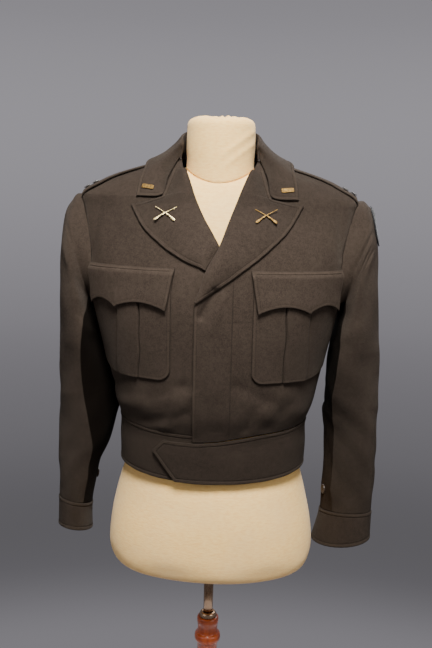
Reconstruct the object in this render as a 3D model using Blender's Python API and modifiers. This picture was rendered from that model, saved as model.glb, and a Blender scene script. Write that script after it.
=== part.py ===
"""Waist-length military uniform jacket, worn by a limbless dress form on a turned stand.

Metres, +Z up, the front faces -Y, +X is the wearer's left. The origin is on the floor, at the centre
of the base. The cloth is a wall through rings, so every cut piece is a grid of points on one shared
surface and a second grid one cloth's thickness further in.
"""

import math

import bmesh
import bpy
import numpy as np
from mathutils import Matrix, Vector

# Cloth thickness, half of the gap at a seam, the gap under a piece that lies on another, the gap
# between two solids that touch, and the inner radius where cloth folds back on itself.
CLOTH = 0.0023
SEAM = 0.00015
REST = 0.0009
TOUCH = 0.0003
FOLD_RADIUS = 0.0012
SIDE = math.pi / 2

HEM_Z = 0.918
BAND_TOP_Z = 1.0005
ARMPIT_Z = 1.195
SHOULDER_Z = 1.387
NECK_Z = 1.453
ARMHOLE_HALF_ANGLE = math.radians(28)
ARMHOLE_ROUNDNESS = 2.5
ARMHOLE_STEPS = 10
# The left front stands out by this much where it laps the right one, and eases down to it.
OVERLAP_LIFT = 0.0042
OVERLAP_EASE = (0.060, 0.055)
BAND_GAP = 0.0014
BAND_MIDDLE_Z = 0.96
TAB_DIP = 0.0125
TAB_EASE = (0.050, 0.060)
LAPEL_CLEAR = 0.0088
LAPEL_PUFF = 0.0045
ROLL_SET_IN = 0.0004

# Rings of the body's outer face: height, half width, depth in front and behind, and squareness.
TORSO = (
    # z, half_width, front, back, power
    (0.900, 0.1630, 0.1215, 0.1080, 2.3),
    (0.960, 0.1640, 0.1235, 0.1080, 2.3),
    (1.000, 0.1645, 0.1250, 0.1085, 2.3),
    (1.012, 0.1680, 0.1290, 0.1130, 2.3),
    (1.032, 0.1735, 0.1350, 0.1190, 2.3),
    (1.070, 0.1800, 0.1370, 0.1230, 2.3),
    (1.120, 0.1920, 0.1385, 0.1240, 2.2),
    (1.180, 0.2080, 0.1400, 0.1250, 2.2),
    (1.240, 0.2250, 0.1380, 0.1280, 2.2),
    (1.300, 0.2340, 0.1260, 0.1300, 2.2),
    (1.340, 0.2380, 0.1080, 0.1250, 2.2),
    (1.370, 0.2375, 0.0910, 0.1150, 2.2),
    (1.387, 0.2345, 0.0825, 0.1080, 2.2),
    (1.403, 0.2100, 0.0740, 0.1030, 2.2),
    (1.416, 0.1850, 0.0670, 0.0980, 2.2),
    (1.434, 0.1310, 0.0560, 0.0880, 2.2),
    (1.443, 0.1000, 0.0490, 0.0800, 2.2),
    (1.456, 0.0640, 0.0380, 0.0660, 2.0),
)

# Soft folds of the body, each along a line seen from the front or from the back.
BODY_FOLDS = (
    # side, x0, z0, x1, z1, half_width, height
    (-1, -0.060, 1.070, -0.150, 1.036, 0.014, 0.0040),
    (-1, -0.035, 1.070, -0.075, 1.010, 0.012, 0.0035),
    (-1, 0.062, 1.070, 0.105, 1.028, 0.013, 0.0035),
    (-1, 0.120, 1.070, 0.150, 1.028, 0.013, 0.0040),
    (1, -0.100, 1.080, -0.085, 1.015, 0.013, 0.0040),
    (1, -0.035, 1.090, -0.030, 1.015, 0.013, 0.0035),
    (1, 0.045, 1.075, 0.040, 1.015, 0.012, 0.0035),
    (1, 0.105, 1.085, 0.090, 1.015, 0.013, 0.0040),
    (1, -0.175, 1.300, -0.150, 1.150, 0.020, 0.0040),
    (1, 0.175, 1.300, 0.152, 1.150, 0.020, 0.0040),
)

# Roll lines, where the fronts turn back on themselves, and the lapels' free edges.
LEFT_ROLL = (
    # z, x
    (1.215, -0.028),
    (1.232, -0.021),
    (1.250, -0.0145),
    (1.271, -0.008),
    (1.308, 0.011),
    (1.345, 0.024),
    (1.382, 0.037),
    (1.414, 0.049),
    (1.440, 0.060),
    (1.456, 0.066),
)
RIGHT_ROLL = (
    # z, x
    (1.235, 0.022),
    (1.271, 0.019),
    (1.308, 0.007),
    (1.330, -0.006),
    (1.357, -0.023),
    (1.382, -0.036),
    (1.414, -0.049),
    (1.440, -0.060),
    (1.456, -0.066),
)
LEFT_LAPEL = (
    # along, roll_z, edge_x, edge_z
    (0.00, 1.224, -0.0180, 1.2275),
    (0.15, 1.242, 0.0090, 1.2465),
    (0.35, 1.276, 0.0430, 1.2720),
    (0.55, 1.308, 0.0850, 1.3060),
    (0.70, 1.340, 0.1180, 1.3400),
    (0.82, 1.370, 0.1400, 1.3780),
    (0.90, 1.395, 0.0880, 1.3860),
    (1.00, 1.438, 0.0700, 1.4400),
)
RIGHT_LAPEL = (
    # along, roll_z, edge_x, edge_z
    (0.00, 1.276, -0.0200, 1.2785),
    (0.15, 1.290, -0.0380, 1.2850),
    (0.35, 1.310, -0.0620, 1.2970),
    (0.55, 1.332, -0.0880, 1.3140),
    (0.70, 1.354, -0.1180, 1.3400),
    (0.82, 1.375, -0.1390, 1.3720),
    (0.90, 1.397, -0.0880, 1.3860),
    (1.00, 1.438, -0.0700, 1.4400),
)
LAPEL_POINT = 0.82
# Below this height the right lapel's edge lies over its front, under the left lapel.
RIGHT_ROLL_FOOT_Z = 1.314
# Where that edge lies flat, its bend starts this far below the front's plane.
COVERED_ANGLE = -0.25

FLY_LEFT = -0.028
FLY_SEAM = 0.033
FLY_TOP_Z = 1.366

# Pocket sizes are seen from the front; the wearer's right pocket mirrors the left one.
POCKET_INNER = 0.065
POCKET_OUTER_TOP = 0.206
POCKET_OUTER_FOOT = 0.176
POCKET_TOP_Z = 1.254
POCKET_FOOT_Z = 1.094
POCKET_CORNER = 0.020
POCKET_REST = 0.0013
PLEAT_INNER = 0.118
PLEAT_OUTER = 0.155
PLEAT_STEP = 0.0008
PLEAT_HEIGHT = 0.0016
FLAP_TOP_Z = 1.277
# Below this height, and over this width, the flap rises from the front on to the pocket.
FLAP_RISE = (1.279, 0.014)
FLAP_INNER = (0.060, 0.072)
FLAP_OUTER = (0.207, 0.198)
# The flap's lower edge, from its inner corner: two hollow arcs that meet in a point.
FLAP_EDGE = (
    # across, z
    (0.00, 1.2090),
    (0.14, 1.2170),
    (0.27, 1.2205),
    (0.40, 1.2165),
    (0.52, 1.2080),
    (0.64, 1.2160),
    (0.76, 1.2200),
    (0.88, 1.2175),
    (1.00, 1.2100),
)

# The collar's lines at four stations, from the centre back to the side of the neck and the front.
# Each goes from the seam at the neck over the fold to the free edge.
COLLAR_BACK = (
    # x, y, z
    (0.0000, 0.0630, 1.4575),
    (0.0000, 0.0608, 1.4780),
    (0.0000, 0.0625, 1.4960),
    (0.0000, 0.0670, 1.4985),
    (0.0000, 0.0780, 1.4880),
    (0.0000, 0.0920, 1.4680),
    (0.0000, 0.1010, 1.4480),
)
COLLAR_QUARTER = (
    # x, y, z
    (0.0445, 0.0450, 1.4575),
    (0.0430, 0.0435, 1.4780),
    (0.0445, 0.0450, 1.4955),
    (0.0475, 0.0480, 1.4975),
    (0.0570, 0.0560, 1.4860),
    (0.0710, 0.0660, 1.4665),
    (0.0830, 0.0740, 1.4480),
)
COLLAR_SIDE = (
    # x, y, z
    (0.0640, 0.0050, 1.4600),
    (0.0608, 0.0045, 1.4750),
    (0.0615, 0.0040, 1.4895),
    (0.0650, 0.0035, 1.4910),
    (0.0745, 0.0030, 1.4785),
    (0.0930, 0.0010, 1.4620),
    (0.1190, 0.0000, 1.4480),
)
COLLAR_FRONT = (
    # x, y, z
    (0.0635, -0.0210, 1.4590),
    (0.0610, -0.0260, 1.4660),
    (0.0615, -0.0300, 1.4740),
    (0.0655, -0.0330, 1.4755),
    (0.0780, -0.0360, 1.4650),
    (0.0990, -0.0390, 1.4480),
    (0.1250, -0.0418, 1.4302),
)
# The collar's ends bend out of the neckline here, and the leaves lie on the fronts from there on.
COLLAR_START = (0.066, 1.446)
COLLAR_BEND = np.radians((0, 28, 56, 84))
COLLAR_BEND_ASIDE = (-0.92, -0.30, -0.25)
COLLAR_TURN = (
    # x, z, lift
    (0.0800, 1.4350, 0.0075),
    (0.0980, 1.4190, 0.0068),
    (0.1290, 1.4080, 0.0042),
)
COLLAR_END = (
    # x, z, lift
    (0.0805, 1.4150, 0.0062),
    (0.0892, 1.3878, 0.0054),
    (0.1315, 1.3858, 0.0040),
)

# Shoulder strap along the top of the shoulder, from under the collar to the sleeve head.
STRAP = (
    # x, centre_y, half_width
    (0.104, -0.002, 0.016),
    (0.112, -0.002, 0.0205),
    (0.150, -0.002, 0.0225),
    (0.190, -0.001, 0.0245),
    (0.2290, 0.000, 0.0265),
)
STRAP_ROWS = (0.104, 0.112, 0.130, 0.155, 0.178, 0.198, 0.212, 0.222, 0.229)
# The strap's end rises over the sleeve's seam: where it starts to, how far on, and how high.
STRAP_RISE = (0.195, 0.030, 0.0010)
# Heights between which the shoulder's surface is looked for.
SHOULDER_SEARCH = (1.330, 1.4555)

# Sleeve rings as pairs of points, on the outer and on the inner side of the arm.
LEFT_SLEEVE = (
    # along, outer_x, outer_z, inner_x, inner_z, centre_y, half_depth, twist
    (0.04, 0.2500, 1.3835, 0.2180, 1.1985, 0.004, 0.0700, 0),
    (0.09, 0.2610, 1.3700, 0.2215, 1.1960, 0.004, 0.0760, 0),
    (0.15, 0.2680, 1.3400, 0.2225, 1.1870, 0.003, 0.0790, 0),
    (0.22, 0.2720, 1.2980, 0.2200, 1.1720, 0.002, 0.0800, 0),
    (0.30, 0.2765, 1.2460, 0.2140, 1.1510, 0.002, 0.0800, 0),
    (0.40, 0.2820, 1.1850, 0.2070, 1.1190, 0.004, 0.0790, 0),
    (0.50, 0.2870, 1.1200, 0.2010, 1.0790, 0.008, 0.0770, 4),
    (0.60, 0.2890, 1.0600, 0.1980, 1.0380, 0.008, 0.0750, 10),
    (0.70, 0.2870, 1.0050, 0.1990, 0.9990, 0.004, 0.0720, 18),
    (0.80, 0.2850, 0.9500, 0.2000, 0.9500, -0.004, 0.0700, 26),
    (0.90, 0.2840, 0.8980, 0.1950, 0.8980, -0.010, 0.0670, 34),
    (1.00, 0.2830, 0.8460, 0.1890, 0.8460, -0.014, 0.0640, 40),
    (1.10, 0.2830, 0.7900, 0.1870, 0.7900, -0.016, 0.0630, 42),
)
RIGHT_SLEEVE = (
    # along, outer_x, outer_z, inner_x, inner_z, centre_y, half_depth, twist
    (0.04, 0.2500, 1.3815, 0.2180, 1.1985, 0.004, 0.0700, 0),
    (0.09, 0.2600, 1.3660, 0.2215, 1.1960, 0.004, 0.0760, 0),
    (0.15, 0.2670, 1.3380, 0.2225, 1.1870, 0.003, 0.0790, 0),
    (0.22, 0.2690, 1.2980, 0.2200, 1.1720, 0.002, 0.0800, 0),
    (0.30, 0.2720, 1.2460, 0.2140, 1.1510, 0.003, 0.0800, 0),
    (0.40, 0.2750, 1.1850, 0.2060, 1.1190, 0.008, 0.0790, 0),
    (0.50, 0.2775, 1.1200, 0.1980, 1.0790, 0.014, 0.0770, 0),
    (0.60, 0.2790, 1.0600, 0.1930, 1.0380, 0.016, 0.0750, 0),
    (0.70, 0.2790, 1.0050, 0.1940, 0.9990, 0.012, 0.0720, 0),
    (0.80, 0.2780, 0.9500, 0.2020, 0.9500, 0.004, 0.0700, 0),
    (0.90, 0.2760, 0.8980, 0.2130, 0.8980, -0.004, 0.0680, -4),
    (1.00, 0.2740, 0.8460, 0.2200, 0.8460, -0.010, 0.0660, -6),
    (1.10, 0.2745, 0.7900, 0.2200, 0.7900, -0.013, 0.0650, -6),
)
SLEEVE_STATIONS = (0.0, 0.04, 0.075, 0.12, 0.18, 0.25, 0.33, 0.41, 0.48, 0.54, 0.60, 0.67, 0.76, 0.85,
                   0.93, 1.0)
CUFF_STATIONS = (1.0, 1.05, 1.10)
CUFF_LIFT = 0.0010
# Half width that a sleeve's ring is taken to have while it is turned by its twist.
TWIST_HALF_WIDTH = 0.032
FULL_TWIST = 20.0
# Creases of a sleeve: where along it, where round it, half lengths and height.
SLEEVE_FOLDS = (
    # along, round_degrees, half_along, half_round_degrees, height
    (0.16, 120, 0.030, 22, 0.0030),
    (0.33, 60, 0.030, 35, 0.0030),
    (0.52, 300, 0.022, 50, 0.0040),
    (0.59, 250, 0.020, 55, 0.0035),
    (0.67, 320, 0.024, 50, 0.0035),
    (0.78, 130, 0.030, 45, 0.0030),
)

WAISTBAND_TAB = (
    # down, end_x
    (0.00, -0.076),
    (0.32, -0.094),
    (1.00, -0.056),
)
UNDER_BAND_END = -0.008
BAND_STAND = 0.0006
BAND_LAP = 0.0046

# Rings of the dress form, with the height in front, at the side and behind.
FORM = (
    # half_width, front, back, centre_y, front_z, side_z, back_z
    (0.1520, 0.1060, 0.1060, 0.000, 0.7300, 0.7300, 0.7300),
    (0.1740, 0.1240, 0.1230, 0.000, 0.7400, 0.7350, 0.7350),
    (0.1840, 0.1320, 0.1310, 0.000, 0.7600, 0.7530, 0.7530),
    (0.1855, 0.1345, 0.1330, 0.000, 0.7860, 0.7810, 0.7810),
    (0.1800, 0.1310, 0.1300, 0.000, 0.8300, 0.8280, 0.8280),
    (0.1680, 0.1220, 0.1180, 0.000, 0.8800, 0.8800, 0.8800),
    (0.1570, 0.1130, 0.1000, 0.000, 0.9200, 0.9200, 0.9200),
    (0.1480, 0.1050, 0.0930, 0.000, 0.9700, 0.9700, 0.9700),
    (0.1500, 0.1070, 0.0960, 0.000, 1.0300, 1.0300, 1.0300),
    (0.1600, 0.1150, 0.1040, 0.000, 1.1000, 1.1000, 1.1000),
    (0.1740, 0.1220, 0.1100, 0.000, 1.1700, 1.1700, 1.1700),
    (0.1840, 0.1230, 0.1140, 0.000, 1.2400, 1.2400, 1.2400),
    (0.1900, 0.1130, 0.1150, 0.000, 1.2950, 1.3000, 1.3000),
    (0.1980, 0.0980, 0.1080, 0.000, 1.3350, 1.3500, 1.3450),
    (0.2020, 0.0840, 0.0980, 0.000, 1.3640, 1.3850, 1.3780),
    (0.1960, 0.0750, 0.0880, 0.000, 1.3820, 1.4052, 1.4000),
    (0.1750, 0.0690, 0.0790, 0.000, 1.3930, 1.4162, 1.4170),
    (0.1400, 0.0640, 0.0710, 0.000, 1.4010, 1.4260, 1.4300),
    (0.1000, 0.0600, 0.0630, 0.000, 1.4070, 1.4290, 1.4390),
    (0.0640, 0.0570, 0.0580, 0.000, 1.4105, 1.4320, 1.4450),
)
NECK_CAP = (
    # half_width, front, back, centre_y, front_z, side_z, back_z
    (0.0575, 0.0560, 0.0560, 0.000, 1.4110, 1.4325, 1.4455),
    (0.0570, 0.0560, 0.0560, 0.000, 1.4350, 1.4480, 1.4570),
    (0.0580, 0.0565, 0.0565, 0.000, 1.4650, 1.4680, 1.4700),
    (0.0575, 0.0560, 0.0560, 0.000, 1.4950, 1.4950, 1.4950),
    (0.0560, 0.0545, 0.0545, 0.000, 1.5090, 1.5090, 1.5090),
    (0.0510, 0.0500, 0.0500, 0.000, 1.5165, 1.5165, 1.5165),
    (0.0380, 0.0370, 0.0370, 0.000, 1.5190, 1.5190, 1.5190),
)
FORM_POWER = 2.15
NECK_POWER = 2.0
FORM_COLUMNS = 28

ROD_RADIUS = 0.0088
ROD_TOP_Z = 0.7297
POLE_TOP_Z = 0.6085
ROD_SIDES = 20
POLE_SIDES = 24
BASE_SIDES = 36
# Turned profiles, from the top down the outer side.
CUP = (
    # radius, z
    (0.0093, 0.6175),
    (0.0130, 0.6175),
    (0.0150, 0.6160),
    (0.0165, 0.6110),
    (0.0165, 0.6088),
    (0.0093, 0.6088),
)
POLE = (
    # radius, z
    (0.0000, 0.6085),
    (0.0190, 0.6085),
    (0.0200, 0.6010),
    (0.0180, 0.5900),
    (0.0190, 0.5760),
    (0.0230, 0.5720),
    (0.0240, 0.5660),
    (0.0225, 0.5600),
    (0.0190, 0.5560),
    (0.0190, 0.4800),
    (0.0220, 0.3000),
    (0.0225, 0.1300),
    (0.0250, 0.1150),
    (0.0300, 0.1080),
    (0.0310, 0.1000),
    (0.0250, 0.0900),
    (0.0250, 0.0700),
    (0.0300, 0.0580),
    (0.0480, 0.0463),
    (0.0000, 0.0463),
)
BASE = (
    # radius, z
    (0.0000, 0.0460),
    (0.0540, 0.0460),
    (0.0800, 0.0400),
    (0.1400, 0.0320),
    (0.1780, 0.0280),
    (0.1900, 0.0180),
    (0.1900, 0.0040),
    (0.1870, 0.0000),
    (0.0000, 0.0000),
)

# Pins: width, height and thickness, where each is, and how far it stands over the cloth under it.
BAR_PIN = (0.025, 0.009, 0.0012)
BAR_SPOT = (0.107, 1.406)
BAR_TURN = math.radians(6)
BAR_STAND = 0.0004
RANK_BAR = (0.0095, 0.0250, 0.0016)
RANK_BAR_X = (0.2100, 0.2240)
RANK_BAR_Y = -0.002
RANK_BAR_STAND = 0.0005
PLATE_ROUNDING = 0.0004
GUN_SPOT = (0.0795, 1.3580)
GUN_STAND = 0.0058
GUN_LENGTH = 0.042
GUN_ANGLE = math.radians(33)
# One long gun seen from the side, muzzle to butt: the upper edge, then the lower edge back.
GUN_OUTLINE = ((-0.500, 0.010), (-0.100, 0.014), (0.020, 0.026), (0.160, 0.026), (0.200, 0.012),
               (0.480, -0.010), (0.500, -0.070), (0.420, -0.082), (0.180, -0.036), (0.120, -0.060),
               (0.080, -0.030), (-0.100, -0.020), (-0.500, -0.014))
GUN_THICKNESS = 0.0012
BUTTON_RADIUS = 0.0085
BUTTON_THICKNESS = 0.0035
BUTTON_ROUNDING = 0.0008
BUTTON_STAND = 0.0008
BUTTON_STATIONS = (0.92, 0.955, 0.99)
BUTTON_COLUMN = -2
PATCH_ALONG = (0.062, 0.187)
PATCH_ROUND = math.radians(21)
PATCH_TURN = math.radians(168)
PATCH_THICKNESS = 0.0016
PATCH_LIFT = 0.0010

WOOL = ((0.075, 0.058, 0.044), 0.85, 0.0)
KNIT = ((0.75, 0.66, 0.50), 0.80, 0.0)
DARK_SILVER = ((0.20, 0.19, 0.18), 0.35, 0.9)
BRASS = ((0.62, 0.45, 0.18), 0.35, 0.9)
STEEL = ((0.70, 0.68, 0.64), 0.25, 1.0)
WOOD = ((0.20, 0.050, 0.018), 0.30, 0.0)
BLACK_CLOTH = ((0.012, 0.012, 0.013), 0.80, 0.0)
BUTTON_BROWN = ((0.030, 0.020, 0.014), 0.40, 0.0)


def clear_scene():
    """Removes every object and leaves one empty collection for the jacket."""
    for obj in list(bpy.data.objects):
        bpy.data.objects.remove(obj)
    parts = bpy.data.collections.new("uniform_jacket")
    bpy.context.scene.collection.children.link(parts)
    return parts


def material(name, look):
    """A plain material from its colour, roughness and metallic value."""
    found = bpy.data.materials.get(name)
    if found:
        return found
    colour, roughness, metallic = look
    made = bpy.data.materials.new(name)
    made.use_nodes = True
    shader = made.node_tree.nodes["Principled BSDF"]
    shader.inputs["Base Color"].default_value = (*colour, 1.0)
    shader.inputs["Roughness"].default_value = roughness
    shader.inputs["Metallic"].default_value = metallic
    return made


def smooth_rows(table, at):
    """Values of a table's columns at positions in its first column, on a smooth curve through them."""
    rows = np.asarray(table, float)
    order = np.argsort(rows[:, 0])
    key, value = rows[order, 0], rows[order, 1:]
    at = np.asarray(at, float)
    step = np.diff(key)[:, None]
    slope = np.diff(value, axis=0) / step
    tangent = np.empty_like(value)
    tangent[0], tangent[-1] = slope[0], slope[-1]
    tangent[1:-1] = (slope[:-1] * step[1:] + slope[1:] * step[:-1]) / (step[1:] + step[:-1])
    place = np.clip(np.searchsorted(key, at, side="right") - 1, 0, len(key) - 2)
    span = (key[place + 1] - key[place])[..., None]
    s = np.clip((at - key[place])[..., None] / span, 0.0, 1.0)
    return ((2 * s**3 - 3 * s**2 + 1) * value[place] + (s**3 - 2 * s**2 + s) * span * tangent[place]
            + (3 * s**2 - 2 * s**3) * value[place + 1] + (s**3 - s**2) * span * tangent[place + 1])


def unit(vectors):
    """The same directions with length one."""
    return vectors / np.linalg.norm(vectors, axis=-1, keepdims=True)


def ease(value):
    """Smooth step from 0 to 1 over the same range."""
    s = np.clip(value, 0.0, 1.0)
    return s * s * (3 - 2 * s)


def turn_at(x, z):
    """Angle round the body, from the centre front, of the point at that x and height."""
    half_width, _, _, power = np.moveaxis(smooth_rows(TORSO, z), -1, 0)
    reach = np.clip(np.abs(x) / half_width, 0.0, 1.0)
    return np.sign(x) * np.arcsin(reach ** (power / 2))


def fold_height(x, y, z):
    """How far the body's folds stand out at a point."""
    height = np.zeros_like(x)
    for side, x0, z0, x1, z1, half_width, tall in BODY_FOLDS:
        along = np.clip(((x - x0) * (x1 - x0) + (z - z0) * (z1 - z0))
                        / ((x1 - x0) ** 2 + (z1 - z0) ** 2), 0.0, 1.0)
        away = np.hypot(x - x0 - along * (x1 - x0), z - z0 - along * (z1 - z0))
        near_side = ease(side * y / 0.03)
        height = height + tall * np.exp(-((away / half_width) ** 2)) * near_side
    return height * ease((z - BAND_TOP_Z) / 0.012)


def torso_ring(turn, z):
    """Point of the body's outer face before its folds: a superellipse at each height."""
    half_width, front, back, power = np.moveaxis(smooth_rows(TORSO, z), -1, 0)
    sine, cosine = np.sin(turn), np.cos(turn)
    depth = np.where(cosine > 0, front, back)
    x = half_width * np.sign(sine) * np.abs(sine) ** (2 / power)
    y = -depth * np.sign(cosine) * np.abs(cosine) ** (2 / power)
    return np.stack([x, y, z + 0 * turn], -1)


def torso(turn, z, lift=0.0):
    """Point at that angle and height, moved out along the normal by its folds and by the lift."""
    turn, z = np.broadcast_arrays(np.asarray(turn, float), np.asarray(z, float))
    point = torso_ring(turn, z)
    across = torso_ring(turn + 0.01, z) - torso_ring(turn - 0.01, z)
    up = torso_ring(turn, z + 0.0008) - torso_ring(turn, z - 0.0008)
    normal = unit(np.cross(across, up))
    out = fold_height(*np.moveaxis(point, -1, 0)) + lift
    return point + normal * out[..., None]


def on_front(x, z, lift=0.0):
    """Point of the front at that x and height."""
    return torso(turn_at(x, z), z, lift)


def overlap_lift(x, z):
    """How far the left front stands out where it laps over the right one."""
    start, width = OVERLAP_EASE
    near = ease((start - x) / width)
    proud = 1.0 + 0.7 * np.exp(-(((z - 1.285) / 0.035) ** 2))
    return OVERLAP_LIFT * near * proud


def lapping_share(x):
    """How far the left half of the band has risen on to the right one, from 0 to 1."""
    start, width = TAB_EASE
    return ease((start - x) / width)


def band_top(x):
    """Top of the left half's band at an x of the front: it dips toward its tab."""
    return BAND_TOP_Z - TAB_DIP * lapping_share(x)


def set_back(grid, wrapped=False):
    """Moves a grid's border in by half of a seam's gap."""
    moved = grid.copy()
    moved[0] += unit(grid[1] - grid[0]) * SEAM
    moved[-1] += unit(grid[-2] - grid[-1]) * SEAM
    if not wrapped:
        moved[:, 0] += unit(grid[:, 1] - grid[:, 0]) * SEAM
        moved[:, -1] += unit(grid[:, -2] - grid[:, -1]) * SEAM
    return moved


def grid_normals(grid, wrapped=False):
    """Unit normals of a grid of points, rows by columns."""
    along = np.gradient(grid, axis=0)
    if wrapped:
        across = np.roll(grid, -1, axis=1) - np.roll(grid, 1, axis=1)
    else:
        across = np.gradient(grid, axis=1)
    return unit(np.cross(across, along))


def add_mesh(parts, name, points, faces, look_name, look):
    """A closed mesh with its faces turned outward, shaded smooth but for its sharp edges."""
    mesh = bpy.data.meshes.new(name)
    mesh.from_pydata(points.reshape(-1, 3).tolist(), [], faces)
    shell = bmesh.new()
    shell.from_mesh(mesh)
    bmesh.ops.recalc_face_normals(shell, faces=shell.faces)
    shell.to_mesh(mesh)
    shell.free()
    mesh.shade_smooth()
    mesh.set_sharp_from_angle(angle=math.radians(40))
    mesh.materials.append(material(look_name, look))
    obj = bpy.data.objects.new(name, mesh)
    parts.objects.link(obj)
    return obj


def wall(parts, name, outer, inner, wrapped=False, look_name="wool", look=WOOL):
    """A cloth wall between two grids of points, closed along its border."""
    rows, columns = outer.shape[:2]
    number = np.arange(rows * columns).reshape(rows, columns)
    if wrapped:
        number = np.hstack([number, number[:, :1]])
    count = rows * columns

    def quads(a, b, c, d):
        return np.stack([a.ravel(), b.ravel(), c.ravel(), d.ravel()], 1).tolist()

    front = quads(number[:-1, :-1], number[:-1, 1:], number[1:, 1:], number[1:, :-1])
    back = [[i + count for i in reversed(face)] for face in front]
    rims = []
    edges = [number[0], number[-1]]
    if not wrapped:
        edges += [number[:, 0], number[:, -1]]
    for edge in edges:
        rims += quads(edge[:-1], edge[1:], edge[1:] + count, edge[:-1] + count)
    points = np.concatenate([outer.reshape(-1, 3), inner.reshape(-1, 3)])
    return add_mesh(parts, name, points, front + back + rims, look_name, look)


def body_rows():
    """Heights of the body's rows: below the armhole, along it, and over the shoulder."""
    low = np.array([BAND_TOP_Z + SEAM, 1.010, 1.021, 1.033, 1.050, 1.075, 1.110, 1.150])
    swing = np.linspace(0.0, math.pi, ARMHOLE_STEPS + 1)
    armhole = ARMPIT_Z + (SHOULDER_Z - ARMPIT_Z) * (1 - np.cos(swing)) / 2
    top = np.array([1.399, 1.412, 1.425, 1.437, 1.446, NECK_Z])
    return np.concatenate([low, armhole, top])


def armhole_angle(z):
    """Half of the armhole's opening at a height, as an angle round the body."""
    place = np.clip((z - ARMPIT_Z) / (SHOULDER_Z - ARMPIT_Z), 0.0, 1.0)
    span = np.clip(1 - np.abs(2 * place - 1) ** ARMHOLE_ROUNDNESS, 0.0, 1.0)
    return ARMHOLE_HALF_ANGLE * span ** (1 / ARMHOLE_ROUNDNESS)


def torso_panel(parts, name, z, start, end, columns, lift=None):
    """A body panel between two angles at each height; the left ones end along the band's dip."""
    share = np.linspace(0.0, 1.0, columns + 1)
    turn = start[:, None] + (end - start)[:, None] * share
    height = np.repeat(z[:, None], columns + 1, axis=1)
    raised = 0.0
    if lift is not None:
        x = torso_ring(turn, height)[..., 0]
        height[0] = band_top(x[0]) + BAND_GAP
        raised = lift(x, height)
    outer = set_back(torso(turn, height, raised))
    inner = set_back(torso(turn, height, raised - CLOTH))
    return wall(parts, name, outer, inner)


def build_body(parts):
    """Both fronts, the fly strip and the back."""
    z = body_rows()
    right_edge = np.where(z < 1.235, 0.022, smooth_rows(RIGHT_ROLL, z)[:, 0])
    torso_panel(parts, "front_right", z, armhole_angle(z) - SIDE, turn_at(right_edge, z), 10)
    left_edge = np.maximum(smooth_rows(LEFT_ROLL, z)[:, 0], FLY_SEAM)
    torso_panel(parts, "front_left", z, turn_at(left_edge, z), SIDE - armhole_angle(z), 9,
                overlap_lift)
    fly_z = np.concatenate([z[z < 1.205], [1.215, 1.224], np.linspace(1.242, FLY_TOP_Z, 7)])
    fly_edge = np.where(fly_z < 1.215, FLY_LEFT, smooth_rows(LEFT_ROLL, fly_z)[:, 0])
    fly_seam = np.full_like(fly_z, FLY_SEAM)
    torso_panel(parts, "fly_strip", fly_z, turn_at(fly_edge, fly_z), turn_at(fly_seam, fly_z), 4,
                overlap_lift)
    torso_panel(parts, "back", z, SIDE + armhole_angle(z), 3 * SIDE - armhole_angle(z), 16)


def build_waistband(parts):
    """The band in two halves: the left one laps over the right one and ends in a pointed tab."""
    down = np.array([0.0, 0.32, 0.66, 1.0])
    share = np.linspace(0.0, 1.0, 24) ** 1.3

    def half(name, front_turn, back_turn, laps):
        turn = front_turn[:, None] + (back_turn - front_turn)[:, None] * share
        x = torso_ring(turn, np.full_like(turn, BAND_MIDDLE_Z))[..., 0]
        lapping = (np.cos(turn) > 0) & laps
        top = np.where(lapping, band_top(x), BAND_TOP_Z)
        z = top + (HEM_Z - top) * down[:, None]
        stand = BAND_STAND + np.where(lapping, BAND_LAP * lapping_share(x), 0.0)
        outer = set_back(torso(turn, z, stand))
        inner = set_back(torso(turn, z, stand - CLOTH))
        wall(parts, name, outer, inner)

    centre_back = np.full_like(down, 2 * SIDE)
    middle_z = np.full_like(down, BAND_MIDDLE_Z)
    tab_end = turn_at(smooth_rows(WAISTBAND_TAB, down)[:, 0], middle_z)
    under_end = turn_at(np.full_like(down, UNDER_BAND_END), middle_z)
    half("waistband_right", under_end, -centre_back, False)
    half("waistband_left", tab_end, centre_back, True)


def lapel_grids(roll, edges, lift, along, first_angle):
    """The turned-back part of a front: round the roll line, then out over the front to its edge."""
    roll_z, edge_x, edge_z = smooth_lapel(edges, along)
    roll_x = roll(roll_z)
    base = on_front(roll_x, roll_z, lift(roll_x, roll_z))
    out = on_front(roll_x, roll_z, lift(roll_x, roll_z) + 0.001) - base
    normal = unit(out)
    run = np.gradient(base, axis=0)
    side = np.sign(edge_x[len(along) // 2] - roll_x[len(along) // 2])
    aside = unit(np.cross(normal, run))
    aside = aside * np.where(aside[:, :1] * side > 0, -1.0, 1.0)
    outer, inner = [], []
    for share in np.linspace(0.0, 1.0, 5):
        angle = (first_angle + (SIDE - first_angle) * share)[:, None]
        spin = np.cos(angle) * aside + np.sin(angle) * normal
        centre = base + ROLL_SET_IN * aside + FOLD_RADIUS * normal
        outer.append(centre + (FOLD_RADIUS + CLOTH) * spin)
        inner.append(centre + FOLD_RADIUS * spin)
    for share in (0.14, 0.32, 0.55, 0.78, 1.0):
        x = roll_x + (edge_x - roll_x) * share
        z = roll_z + (edge_z - roll_z) * share
        width = np.hypot(edge_x - roll_x, edge_z - roll_z)
        puff = LAPEL_PUFF * np.sin(math.pi * min(share, 0.9) ** 0.6) * ease(width / 0.06)
        under = lift(x, z) + REST + (2 * FOLD_RADIUS - REST) * (1 - share) + puff
        outer.append(on_front(x, z, under + CLOTH))
        inner.append(on_front(x, z, under))
    return np.stack(outer, 1), np.stack(inner, 1)


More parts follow.
